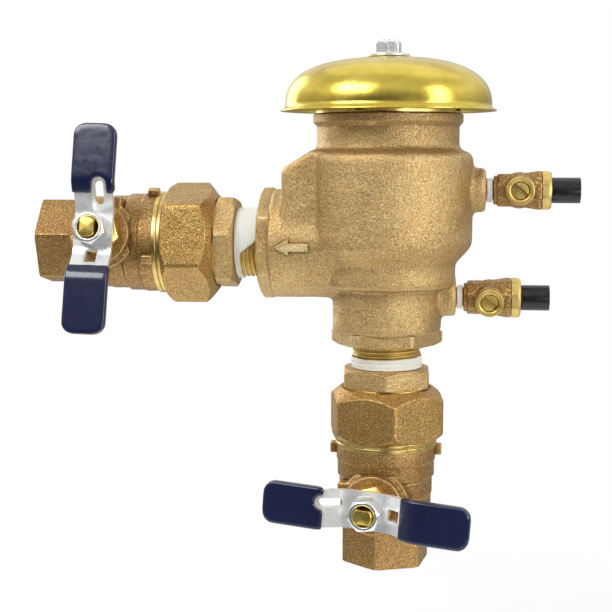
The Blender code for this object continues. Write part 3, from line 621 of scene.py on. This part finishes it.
COCK = {
    "upper": at(box_mm("upper_cock_body")[0].x + 8.0, 0, 183) @ spun(90, "Y"),
    "lower": at(box_mm("lower_cock_body")[0].x + 8.0, 0, 131.4) @ spun(90, "Y") @ spun(10),
}
BOSS_END = {name: COCK[name].translation.x for name in COCK}


# ---- main casting -----------------------------------------------------------------------------------------
def arc(centre, radius, start, end, count):
    step = radians(end - start) / (count - 1)
    angles = [radians(start) + step * i for i in range(count)]
    return [(centre[0] + radius * cos(a), centre[1] + radius * sin(a)) for a in angles]


def main_body():
    """Barrel, outlet arm, web and bosses melted together, then the crisper lip and arrow, and the bores.

    The hexagons of the two ports are pieces of their own, because their flats are crisper still.
    """
    shoulder = arc((36.9, 197.5), 4.0, 80, 0, 6)
    barrel = lathe([(0, 216), (34.2, 216), (34.2, 204), (35.0, 202.4), *shoulder, (40.9, 157.2),
                    (39.7, 155.0), (33.4, 148.2), (33.0, 147.2), (33.0, 137.8), (32.0, 136.6), (26.4, 136.4),
                    (26.4, PORT_Z + 5.8), (0, PORT_Z + 5.8)], 128, 0.8)
    arm_place = at(-OUTLET_FACE, 0, OUTLET_HEIGHT) @ spun(90, "Y")
    arm = moved(rod(26.4, 5.8, OUTLET_FACE, 96, 0.5), arm_place)
    web = moved(prism([(-49, 157), (-49, 191.8), (-47.8, 194), (-34.5, 202.2), (-10, 202.2), (-10, 157)],
                      -24.5, 24.5), OUTWARD)
    bosses = []
    for name, radius, root in (("upper", 10.6, 33), ("lower", 9.2, 24)):
        boss_place = at(0, 0, COCK[name].translation.z) @ spun(90, "Y")
        bosses.append(moved(rod(radius, root, BOSS_END[name], 48, 0.8), boss_place))
    rib_side = [(30, 176), (38.6, 176), (45.2, 183), (43.5, 190), (38.0, 197.5), (30, 197.5)]
    rib = moved(prism(rib_side, -4.6, 4.6), OUTWARD)
    shape = cast([barrel, arm, web, rib, *bosses], 0.95, 15, 0.18, 8.0)
    lip = lathe([(0, LIP_TOP), (36.0, LIP_TOP), (36.0, 215.3), (34.7, 213.9), (34.0, 212.8), (0, 212.8)],
                160, 0.4)
    shape = carved(shape, "UNION", lip)
    # the outline of the raised flow arrow, pointing to the outlet
    outline = [(-52.2, 0), (-45.2, 3.8), (-45.2, 1.9), (-35.8, 1.9), (-35.8, -1.9), (-45.2, -1.9),
               (-45.2, -3.8)]
    arrow = moved(bevelled(prism(outline, -4.0, 1.7), 0.35, 3), at(0, -26.3, 156.6) @ OUTWARD)
    shape = carved(shape, "UNION", arrow)
    chamber = lathe([(0, LIP_TOP + 1), (31.8, LIP_TOP + 1), (31.8, 192.0), (28.5, 192.0), (28.5, 187.5),
                     (36.0, 183.0), (36.0, 159.5), (29.0, 150.0), (29.0, 138.0), (18.5, 138.0),
                     (18.5, 140.0), (15.5, 140.0), (15.5, PORT_Z + 14), (17.0, PORT_Z + 14),
                     (17.0, PORT_Z - 1), (0, PORT_Z - 1)], 96, 0.3)
    outlet = moved(lathe([(0, 50), (15, 50), (15, 14), (17.0, 14), (17.0, -1), (0, -1)], 96, 0.2), arm_place)
    holes = [moved(rod(5.2, -8.5, 1, 32, 0.1), COCK[name]) for name in COCK]
    holes += [moved(rod(2.5, 24 - BOSS_END[name], -7, 24, 0.1), COCK[name]) for name in COCK]
    shape = carved(shape, "DIFFERENCE", chamber, outlet, *holes)
    piece("body_casting", shape, "cast_bronze", "root", ["body"], sharp=38)

    def band(angle):
        side = nut_side(angle, PORT_HEX, 0, 6.3, (24.2, 1.2), (26.8, 0.2), crisp=160)
        return [(17.05, 6.3)] + side + [(17.4, 0), (17.05, 0.4)]

    piece("inlet_port_hex", polar(band, 180, 0.35), "cast_bronze", "root", (), at(0, 0, PORT_Z), sharp=60)
    piece("outlet_port_hex", polar(band, 180, 0.35), "cast_bronze", "root", (), arm_place, sharp=60)


# ---- bonnet, hood and air inlet ---------------------------------------------------------------------------
def bonnet_and_hood():
    top = box_mm("bonnet")[1].z
    ring = lathe([(35.2, top), (35.2, LIP_TOP + GAP), (31.5, LIP_TOP + GAP), (31.5, 218.8), (29.8, 218.8),
                  (29.8, 216.5), (31.5, 216.5), (31.5, 195.7), (28.5, 195.7), (28.5, 207.5), (20.0, 207.5),
                  (20.0, 213.0), (26.0, top)], 128, 0.25, closed=True)
    notches = [moved(block((30, -2.8, top - 2), (38, 2.8, top + 1)), spun(-108 + 90 * i)) for i in range(4)]
    ring = carved(ring, "DIFFERENCE", *notches)
    hub = lathe([(12, 217), (12, 214), (4.3, 214), (4.3, 217)], 64, 0.4, closed=True)
    arms = [moved(block((10.5, -2.5, 214), (22, 2.5, 217)), spun(30 + 120 * i)) for i in range(3)]
    shape = carved(ring, "UNION", hub, *arms)
    piece("bonnet_brass", shape, "machined_brass", "root", ["bonnet"], sharp=35)

    base_r, base_z, wall, power, count = 49.4, 222.4, 1.2, 2.6, 40

    def shell(inset):
        points = []
        for i in range(count):
            angle = radians(4 + 84 * i / (count - 1))
            points.append(((base_r - inset) * sin(angle) ** (2 / power),
                           base_z + (CANOPY_TOP - inset - base_z) * cos(angle) ** (2 / power)))
        return [(4.0, CANOPY_TOP - inset)] + points

    rim = [(base_r, base_z + 0.4), (50.1, 221.95), (RIM_R - 0.35, 221.25), (RIM_R, 220.95),
           (RIM_R, RIM_Z + 0.1), (RIM_R - 0.25, RIM_Z), (RIM_R - 1.0, RIM_Z + 0.1),
           (base_r - wall + 0.3, base_z - 0.5)]
    line = shell(0) + rim + shell(wall)[::-1]
    points, faces = lathe(line, 192, None, closed=True)
    # a spun shell is never perfectly round
    shift = [noise.noise(Vector((p[0], p[1], 0)) / 34) for p in points]
    radius = np.hypot(points[:, 0], points[:, 1])
    keep = np.clip((RIM_R - radius) / 6, 0, 1) * np.clip((radius - 8) / 10, 0, 1)
    points[:, 2] += 0.30 * np.array(shift) * keep
    piece("hood_spun", (points, faces), "hood_brass", "root", ["canopy"], sharp=60)

    low, high = box_mm("canopy_washer")
    washer = lathe([(10.2, high.z - 0.1), (10.2, low.z), (4.0, low.z), (4.0, high.z)], 96, 0.5, closed=True)
    piece("hood_washer", washer, "zinc_plate", "root", ["canopy_washer"])
    low, high = box_mm("canopy_nut")
    hood_nut = nut(HOOD_HEX, low.z, high.z, 3.9, (5.4, 0.45), (5.0, 1.4), radians(20), 0.2)
    piece("hood_nut", hood_nut, "zinc_nut", "root", ["canopy_nut"], even=True)
    low, high = box_mm("bonnet_stud")
    lower = lathe([(0, 244.0), (6.5, 244.0), (6.5, 217.3), (4.0, 217.3), (4.0, low.z), (0, low.z)], 64, 0.3)
    screw = threaded(3.35, 3.85, 1.25, 244.02, high.z - 0.4, 0.6, 64, start=1.0, end=0.8)
    chamfer_z = high.z - 0.39
    point = lathe([(0, high.z), (2.4, high.z), (3.0, chamfer_z + 0.04), (3.0, chamfer_z), (0, chamfer_z)],
                  48, 0.05)
    piece("stud_shank", lower, "machined_brass", "root", ["bonnet_stud"])
    piece("stud_thread", screw, "zinc_plate", "root", ["bonnet_stud"])
    piece("stud_point", point, "zinc_plate", "root", ["bonnet_stud"])


def spring(node, radius, wire, turns):
    """Coil spring that hangs under a fixed plate above its poppet, built at the length of its CAD node."""
    low, high = box_mm(node)[0].z, box_mm(node)[1].z
    count = 28 * turns
    rings = []
    for i in range(count + 1):
        angle = 2 * pi * turns * i / count
        outward = Vector((cos(angle), sin(angle), 0))
        middle = outward * radius + Vector((0, 0, low + wire / 2 + (high - low - wire) * i / count))
        ring = [middle + wire / 2 * (outward * cos(t) + Vector((0, 0, sin(t))))
                for t in (2 * pi * k / 16 for k in range(16))]
        rings.append(ring)
    coil = piece(node + "_coil", skin(rings, False), "stainless", "root", [node], sharp=60)
    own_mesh(coil)


# ---- shutoffs -------------------------------------------------------------------------------------------
HANDLE_MID = 36.25
PLATE = 2.5
ARM_RISE = 7.0
HANDLE_HALF = 48.2
GRIP_START = {"inlet": {"a": 20.8, "b": 16.8}, "outlet": {"a": 17.6, "b": 17.8}}
HANDLE_WIDTH = 18.2


def strip(thickness, x0, x1, both):
    """Side view of the bent handle with round bends: one arm from x0 to x1, or both arms."""
    arm = [(10.8, HANDLE_MID), (22.0, HANDLE_MID + ARM_RISE), (x1, HANDLE_MID + ARM_RISE)]
    if both:
        line = [(-x, z) for x, z in reversed(arm)] + arm
    else:
        share = (x0 - 10.8) / 11.2
        line = [(x0, HANDLE_MID + ARM_RISE * share)] + arm[1:]
    line = softened(line, 3.2, False, 6)
    sides = ([], [])
    for i, (x, z) in enumerate(line):
        before, after = line[max(i - 1, 0)], line[min(i + 1, len(line) - 1)]
        length = hypot(after[0] - before[0], after[1] - before[1])
        nx, nz = -(after[1] - before[1]) / length, (after[0] - before[0]) / length
        for side, sign in zip(sides, (1, -1)):
            side.append((x + sign * nx * thickness / 2, z + sign * nz * thickness / 2))
    return sides[0] + sides[1][::-1]


def plan_end(x0, x1, half, corner):
    """One arm's outline seen from above, with two round corners."""
    turn = [(x1 - corner + corner * cos(a), -half + corner - corner * sin(a))
            for a in (radians(90 - 9 * i) for i in range(11))]
    return [(x0, -half)] + turn + [(x, -y) for x, y in reversed(turn)] + [(x0, half)]


def capsule(x0, x1, y, radius):
    right = arc((x1 - radius, y), radius, -90, 90, 17)
    left = arc((x0 + radius, y), radius, 90, 270, 17)
    return right + left


def handle(side, turned, body):
    """Bright bent plate with its slot, square hole and double-D seat, and the two dipped grips."""
    plate = moved(prism(strip(PLATE, 0, HANDLE_HALF, True), -HANDLE_WIDTH / 2, HANDLE_WIDTH / 2), OUTWARD)
    end = plan_end(0, HANDLE_HALF, HANDLE_WIDTH / 2, 4.5)[1:-1]
    plate = carved(plate, "INTERSECT", prism(end + [(-x, -y) for x, y in end], 25, 55))
    bite = atan2(3.25, sqrt(4.7 ** 2 - 3.25 ** 2))
    flats = arc((0, 0), 4.7, -bite * 180 / pi, bite * 180 / pi, 15)
    seat = [(x * 1.06, y + (GAP if y > 0 else -GAP)) for x, y in flats]
    plate = carved(plate, "DIFFERENCE", prism(seat + [(-x, -y) for x, y in seat], 25, 55),
                   prism(capsule(-22.7, -12.1, 3.0, 2.2), 25, 55), block((9.8, -2.8, 25), (15.4, 2.8, 55)))
    plate = bevelled(plate, 0.32, 2, 40)
    piece(side + "_handle_plate", plate, "zinc_plate", body, [side + "_handle"], turned, sharp=50, even=True)
    for letter, mirror in (("a", 180), ("b", 0)):
        width, reach = HANDLE_WIDTH + 2.4, HANDLE_HALF + 1.3
        side_view = strip(PLATE + 2.2, GRIP_START[side][letter], reach, False)
        grip = moved(prism(side_view, -width / 2, width / 2), OUTWARD)
        grip = carved(grip, "INTERSECT", prism(plan_end(0, reach, width / 2, 5.6), 20, 60))
        if mirror:
            notch = [(-x, -y) for x, y in capsule(-24.1, -11.0, 3.0, 3.4)]
            grip = carved(grip, "DIFFERENCE", prism(notch, 20, 60))
        grip = cast([grip], 0.5, 34)
        piece(side + "_grip_dip_" + letter, grip, "vinyl", body, [side + "_grip_" + letter],
              turned @ spun(mirror), sharp=80)
    low, high = HANDLE_MID + PLATE / 2 + GAP, 47.0
    shape = nut(HANDLE_HEX, low, high, 5.0, (7.1, 0.5), (6.6, 1.3), radians(12), 0.25)
    piece(side + "_handle_hex", shape, "zinc_nut", body, [side + "_handle_nut"], turned, even=True)


def ball_and_stem(side, turned, body):
    curve = [(16 * sin(radians(a)), 16 * cos(radians(a))) for a in range(4, 180, 4)]
    ball = lathe([(0, 16)] + curve + [(0, -16)], 96, None)
    ball = carved(ball, "DIFFERENCE", moved(rod(10, -20, 20, 64, 0.1), spun(90, "Y")),
                  block((-2.3, -20, 12.6), (2.3, 20, 20)))
    piece(side + "_ball_turned", ball, "stainless", body, [side + "_ball"], turned)
    stem = lathe([(0, 49.0), (4.7, 49.0), (4.7, 18.3), (6.8, 18.3), (6.8, 16.8), (0, 16.8)], 64, 0.7)
    cuts = [block((-10, 3.25, 34.7), (10, 10, 50)), block((-10, -10, 34.7), (10, -3.25, 50))]
    stem = carved(stem, "DIFFERENCE", *cuts)
    stem = carved(stem, "UNION", block((-2, -5, 12.9), (2, 5, 17.2)))
    stem = bevelled(stem, 0.25, 2, 50)
    piece(side + "_stem_turned", stem, "stem_brass", body, [side + "_stem"], turned, sharp=50)


def valve_body(side, place, stem_place):
    """Cast barrel with stem boss and stop lug, bored, and the crisper hexagon of the pipe end."""
    barrel = lathe([(0, 43.1), (22.8, 43.1), (22.8, 34.6), (22.35, 34.0), (22.35, 23.5), (21.4, 21.3),
                    (19.0, 18.6), (0, 18.6)], 96, 0.4)
    boss = rod(14.5, 8, 28.0, 64, 0.8)
    collar = rod(16.6, 8, 23.6, 64, 0.8)
    lug = block((-18.5, 4.9, 8), (-8.0, 9.4, 24.0))
    outward_shapes = [moved(s, moved_stem(place, stem_place)) for s in (boss, collar, lug)]
    shape = cast([barrel, *outward_shapes], 0.62, 4, 0.09, 6.0)
    room = lathe([(0, 60), (24.7, 60), (24.7, 43.2), (19.7, 43.2), (19.7, 47.3), (0, 47.3)], 96, None)
    spigot = lathe([(19.7, 47.3), (19.7, 42.0), (17.5, 42.0), (17.5, 47.3)], 96, None, closed=True)
    bore = lathe([(0, 48), (16.7, 48), (16.7, 19.4), (10.5, 19.4), (10.5, 14.2), (16.2, 14.2), (16.8, -1),
                  (0, -1)], 96, None)
    stem_hole = lathe([(0, 30), (7.9, 30), (7.9, 21.6), (5.0, 21.6), (5.0, 18.6), (7.1, 18.6), (7.1, 12),
                       (0, 12)], 48, None)
    shape = carved(shape, "DIFFERENCE", room)
    shape = carved(shape, "UNION", spigot)
    shape = carved(shape, "DIFFERENCE", bore, moved(stem_hole, moved_stem(place, stem_place)))
    piece(side + "_valve_casting", shape, "valve_bronze", "root", [side + "_valve_body"], place, sharp=38)

    def section(angle):
        outside = nut_side(angle, PIPE_HEX, 0, 21.2, (21.2, 0.5), (18.4, 2.2), radians(30), crisp=130)
        return [(17.2, 21.2)] + outside + [(16.8, 0), (16.2, 14.2), (10.5, 14.2), (10.5, 19.3), (17.2, 19.3)]

    pipe_hex = refined(polar(section, 180, 0.35))
    piece(side + "_pipe_hex", uneven(pipe_hex, 0.05, 5), "valve_bronze", "root", (), place,
          sharp=60, even=True)
    liner = female_thread(16.15, 16.0, 15.1, PIPE_PITCH, 0.4, 13.6)
    piece(side + "_pipe_thread", liner, "machined_brass", "root", (), place, sharp=60)


def moved_stem(place, stem_place):
    """The stem's frame seen from the pipe's frame."""
    return place.inverted() @ stem_place


def union(side, place, lug_turn, nut_turn, tail_turn, tape_edge):
    """Adapter with wrench lugs, bright union ring, union nut, tailpiece, bare pipe thread and its tape."""
    adapter = lathe([(22.9, 76.8), (22.9, 58.5), (24.2, 58.3), (24.3, 51.7), (23.8, 50.8), (23.8, 43.5),
                     (20.0, 43.5), (20.0, 47.6), (10.6, 47.6), (10.6, 76.8)], 128, 0.35, closed=True)
    lugs = [moved(bevelled(block((22.6, -2.2, 53.4), (27.4, 2.2, 58.9)), 0.7, 3), spun(lug_turn + 90 * i))
            for i in range(3)]
    adapter = carved(adapter, "UNION", *lugs)
    piece(side + "_adapter_casting", uneven(adapter, 0.07, 5), "valve_bronze", "root",
          [side + "_valve_adapter"], place, sharp=38)
    ring = lathe([(24.9, 60.05), (24.9, 58.2), (23.0, 58.2), (23.0, 62.5), (24.5, 62.5), (24.9, 62.1),
                  (24.9, 60.75), (24.4, 60.4)], 160, 0.2, closed=True)
    piece(side + "_union_ring", ring, "machined_brass", "root", [side + "_valve_adapter"], place, even=True)

    z0, z1 = 62.8, 87.0

    def section(angle):
        outside = nut_side(angle, UNION_HEX, z0, z1, (26.8, 3.1), (22.75, 5.8), radians(nut_turn), crisp=52)
        return ([(21.7, z1)] + outside
                + [(23.8, z0), (23.3, z0 + 0.5), (23.3, 80.5), (21.2, 80.5), (21.2, z1 - 0.5)])

    nut_shape = uneven(refined(polar(section, 132, 0.5)), 0.09, 5)
    piece(side + "_union_hex", nut_shape, "union_bronze", "root", [side + "_union_nut"], place,
          sharp=60, even=True)
    shank = lathe([(20.9, 87.27), (20.9, 80.2), (22.7, 80.2), (22.7, 78.6), (12.5, 78.6), (12.5, 87.27)],
                  128, 0.3, closed=True)
    piece(side + "_tail_shank", shank, "machined_brass", "root", [side + "_union_tailpiece"], place)

    def hex_section(angle):
        outside = nut_side(angle, TAIL_HEX, 87.3, 96.6, (21.4, 0.7), (20.6, 1.8), radians(tail_turn),
                           crisp=52)
        return [(12.5, 96.6)] + outside + [(12.5, 87.3)]

    piece(side + "_tail_hex", uneven(refined(polar(hex_section, 120, 0.4)), 0.07, 5), "cast_bronze", "root",
          [side + "_union_tailpiece"], place, sharp=60, even=True)
    thread = threaded(15.75, 16.65, PIPE_PITCH, 96.65, 121.5, 12.5, 128, start=1.5, end=2.0)
    piece(side + "_tail_thread", thread, "end_brass", "root", [side + "_union_tailpiece"], place, sharp=70)

    def tape_section(angle):
        ragged = noise.noise(Vector((cos(angle) * 3, sin(angle) * 3, place[0][3])))
        edge = tape_edge(angle % (2 * pi)) + 0.35 * ragged
        line = [(16.72, edge), (17.0, edge)]
        for k in range(9):
            z = edge - 0.3 - (edge - 0.3 - 97.3) * k / 8
            wave = cos(2 * pi * (z / PIPE_PITCH) - angle)
            crease = noise.noise(Vector((cos(angle) * 4, sin(angle) * 4, z / 2)))
            line.append((17.24 + 0.13 * wave + 0.10 * crease, z))
        return line + [(17.1, 96.9), (16.72, 96.9)]

    tape = polar(tape_section, 160, None)
    piece(side + "_tape_wrap", tape, "ptfe", "root", [side + "_thread_tape"], place, sharp=70)


def uneven(shape, depth, size):
    """A cast skin: every point shifts a little with a smooth noise."""
    points, faces = shape
    return points + depth * np.array([noise.noise_vector(Vector(p) / size) for p in points]), faces


def refined(shape):
    """Divide long faces so that the unevenness has points to move."""
    target = scratch(shape)
    modifier = target.modifiers.new("divide", "SUBSURF")
    modifier.subdivision_type = "SIMPLE"
    modifier.levels = 1
    return evaluated(target)


def shutoff(side, lug_turn, nut_turn, tail_turn, tape_edge):
    place = PIPE[side]
    stem_place = place @ at(0, 0, BALL_Z) @ OUTWARD
    turned = stem_place @ spun(-TILT[side])
    body = side + "_valve_spindle"
    valve_body(side, place, stem_place)
    gland = nut(GLAND_HEX, 28.3, 34.4, 6.0, (9.9, 0.6), (9.3, 1.4), radians(15), 0.3)
    packing_nut = [side + "_packing_nut"]
    piece(side + "_gland_hex", gland, "machined_brass", "root", packing_nut, stem_place, even=True)
    sleeve = lathe([(5.95, 33.9), (5.95, 28.25), (7.6, 28.25), (7.6, 24.9), (5.0, 24.9), (5.0, 33.9)],
                   64, 0.15, closed=True)
    piece(side + "_gland_sleeve", sleeve, "machined_brass", "root", packing_nut, stem_place)
    handle(side, turned, body)
    ball_and_stem(side, turned, body)
    union(side, place, lug_turn, nut_turn, tail_turn, tape_edge)


def smooth_step(value, low, high):
    share = min(max((value - low) / (high - low), 0), 1)
    return share * share * (3 - 2 * share)


def inlet_tape(angle):
    return 102.4 + 0.5 * sin(angle + 0.6)


def outlet_tape(angle):
    """Reaches the port over the top of the pipe, and only part of the way below."""
    degrees = angle * 180 / pi
    over = smooth_step(degrees, 95, 118) * (1 - smooth_step(degrees, 272, 300))
    return 99.6 + 8.2 * over


# ---- test cocks -----------------------------------------------------------------------------------------
def test_cock(name):
    """Cast octagonal body with a bright end, slotted quarter-turn plug in its ring, and a black cap."""
    place = COCK[name]
    label = name + "_cock"
    stem_local = at(0, 0, 16.0) @ OUTWARD
    end = box_mm(label + "_cap")[1].x - place.translation.x

    def section(angle):
        near = flat_reach(angle, 15.6, radians(22.5), 8, 30)
        far = flat_reach(angle, 17.6, radians(22.5), 8, 40)
        return [(0, 5.2), (near - 0.5, 5.2), (near, 6.0), (near, 15.5), (far - 0.2, 21.0), (far + 0.4, 24.6),
                (far + 0.2, 26.3), (0, 26.3)]

    core = polar(section, 96, 0.4, closed=False)
    boss = moved(rod(7.4, 0, 9.0, 48, 0.5), stem_local)
    bulge = lathe([(0, 9.5), (5.0, 9.6), (8.0, 12.0), (8.9, 16.0), (8.0, 20.0), (5.0, 22.4), (0, 22.5)],
                  48, 1.5)
    shape = cast([core, boss, bulge], 0.42, 3, 0.08, 3.5)
    neck = lathe([(0, 6.5), (6.9, 6.5), (6.9, 3.9), (6.3, 3.6), (4.7, 3.6), (4.7, -8.0), (0, -8.0)], 48, 0.2)
    shape = carved(shape, "UNION", neck)
    seat = lathe([(0, 12), (5.4, 12), (5.4, 6.2), (4.3, 6.2), (4.3, -5.5), (0, -5.5)], 48, None)
    shape = carved(shape, "DIFFERENCE", rod(1.6, -10, 30, 24, None), moved(seat, stem_local))
    piece(label + "_casting", shape, "valve_bronze", "root", [label + "_body"], place, sharp=38)

    def end_section(angle):
        reach = flat_reach(angle, 18.4, radians(22.5), 8, 26)
        return [(4.05, 30.8), (8.6, 30.8), (reach - 0.1, 29.6), (reach, 26.36), (2.2, 26.36), (2.2, 44.0),
                (4.0, 44.0)]

    turned_end = polar(end_section, 96, 0.3)
    piece(label + "_end", turned_end, "end_brass", "root", [label + "_body"], place, even=True)

    def tape_section(angle):
        line = [(5.0, 3.1)]
        for k in range(7):
            z = 3.1 - 2.75 * k / 6
            line.append((5.75 + 0.5 * cos(4.2 * z - angle) * 0.35
                         + 0.25 * noise.noise(Vector((cos(angle) * 2, sin(angle) * 2, z))), z))
        return line + [(5.0, 0.35)]

    tape = polar(tape_section, 72, None)
    piece(label + "_tape_wrap", tape, "ptfe", "root", [label + "_tape"], place, sharp=70)
    stem_place = place @ stem_local
    plug = lathe([(0, 10.3), (4.0, 10.3), (4.0, -5.0), (0, -5.0)], 64, 0.3)
    slot = moved(block((-1.0, -6, 8.2), (1.0, 6, 12)), spun(-40))
    way = moved(rod(1.3, -6, 6, 24, None), spun(-40) @ OUTWARD)
    plug = carved(plug, "DIFFERENCE", slot, way)
    piece(label + "_plug", plug, "cock_brass", name + "_cock_plug", [label + "_stem"], stem_place)
    gland = lathe([(4.9, 11.2), (6.7, 11.2), (6.7, 9.3), (5.0, 9.3), (5.0, 6.6), (4.3, 6.6), (4.3, 10.6)],
                  72, 0.35, closed=True)
    piece(label + "_ring", gland, "cock_brass", "root", [label + "_gland"], stem_place)

    def cap_section(angle):
        crush = 0.10 * cos(2 * angle + 0.7) + 0.05 * noise.noise(Vector((cos(angle), sin(angle), 2.0)))
        return [(4.4, end), (6.1 + crush - 0.1, end), (6.0 + crush, 31.15), (4.1, 31.15), (4.1, 44.1),
                (4.4, 44.2)]

    piece(label + "_sleeve", polar(cap_section, 72, 0.35), "black_plastic", "root", [label + "_cap"], place)


# ---- camera, light and floor ------------------------------------------------------------------------------
def camera():
    """Viewpoint: about 0.63 m off, a little above the middle and to the right of it."""
    lens = bpy.data.cameras.new("view")
    lens.lens = 76.47
    lens.sensor_width = 36
    made = bpy.data.objects.new("view", lens)
    made.location = (0.03212, -0.631, 0.19973)
    made.rotation_euler = (radians(90 - 6.625), 0, radians(6.495))
    bpy.context.scene.collection.objects.link(made)
    bpy.context.scene.camera = made


def lamp(name, where, size, power):
    """Soft rectangular light that faces the middle of the object."""
    data = bpy.data.lights.new(name, "AREA")
    data.shape = "RECTANGLE"
    data.size, data.size_y = size
    data.energy = power
    made = bpy.data.objects.new(name, data)
    made.location = where
    made.rotation_euler = (Vector((-0.05, 0, 0.15)) - Vector(where)).to_track_quat("-Z", "Y").to_euler()
    bpy.context.scene.collection.objects.link(made)


def surroundings():
    """White to the camera; for light and reflections a studio with pale walls and a dim front."""
    world = bpy.data.worlds.new("studio")
    world.use_nodes = True
    world.node_tree.nodes.clear()
    sky = Nodes(world.node_tree)
    split = sky.node("ShaderNodeSeparateXYZ")
    sky.feed(split.inputs[0], sky.node("ShaderNodeTexCoord").outputs["Generated"])

    def band(*stops):
        return sky.ramp(split.outputs["Z"], *[(height, (grey, grey, grey)) for height, grey in stops])

    def glow(colour):
        made = sky.node("ShaderNodeBackground")
        sky.feed(made.inputs["Color"], colour)
        return made.outputs[0]

    front = band((0.0, 0.05), (0.20, 0.07), (0.36, 0.34), (0.60, 0.60), (1.0, 0.66))
    around = band((0.0, 0.30), (0.15, 0.55), (0.40, 0.90), (0.75, 0.70), (1.0, 0.66))
    studio = sky.blend(sky.span(split.outputs["Y"], -0.9, -0.3), front, around)
    choose = sky.node("ShaderNodeMixShader")
    camera_ray = sky.node("ShaderNodeLightPath").outputs["Is Camera Ray"]
    for socket, value in zip(choose.inputs, (camera_ray, glow(studio), glow((1, 1, 1, 1)))):
        sky.feed(socket, value)
    sky.feed(sky.node("ShaderNodeOutputWorld").inputs["Surface"], choose.outputs[0])
    bpy.context.scene.world = world
    bpy.context.scene.view_settings.view_transform = "Standard"

    lamp("key_left", (-0.63, -0.74, 0.90), (0.75, 0.50), 7.4)
    lamp("fill_right", (0.85, -0.48, 0.42), (0.30, 0.80), 3.4)
    lamp("low_right", (0.55, -0.85, 0.06), (0.45, 0.24), 1.9)
    lamp("top", (0.05, 0.35, 1.15), (1.30, 0.80), 1.3)
    lamp("back_left", (-0.65, 0.60, 0.35), (0.40, 0.70), 2.5)


def floor():
    """Square grid of faces, far enough below the part for its shadow to stay faint."""
    rows, half = 24, 3.0
    line = [half * (2 * i / rows - 1) for i in range(rows + 1)]
    points = [(x, y, 0) for y in line for x in line]
    corners = [j * (rows + 1) + i for j in range(rows) for i in range(rows)]
    faces = [(c, c + 1, c + rows + 2, c + rows + 1) for c in corners]
    mesh = bpy.data.meshes.new("floor")
    mesh.from_pydata(points, [], faces)
    mesh.materials.append(pale_floor())
    made = bpy.data.objects.new("floor", mesh)
    made.location = (0, 0, -0.16)
    bpy.context.scene.collection.objects.link(made)


def carried_over():
    """The CAD nodes that stay, which are the hidden inner parts, get the same finishes."""
    for name, node in NODES.items():
        if node.hide_render:
            continue
        kind = node.material_slots[0].material.name.split(".")[0] if node.material_slots else "stainless"
        for slot in node.material_slots:
            slot.material = FINISHES.get(kind, FINISHES["stainless"])


main_body()
bonnet_and_hood()
spring("check_spring", 12.0, 2.0, 5)
spring("air_spring", 9.4, 0.9, 3)
shutoff("inlet", 10, 51, 43, inlet_tape)
shutoff("outlet", 117, 2, 29, outlet_tape)
for cock_name in COCK:
    test_cock(cock_name)
carried_over()
camera()
surroundings()
floor()
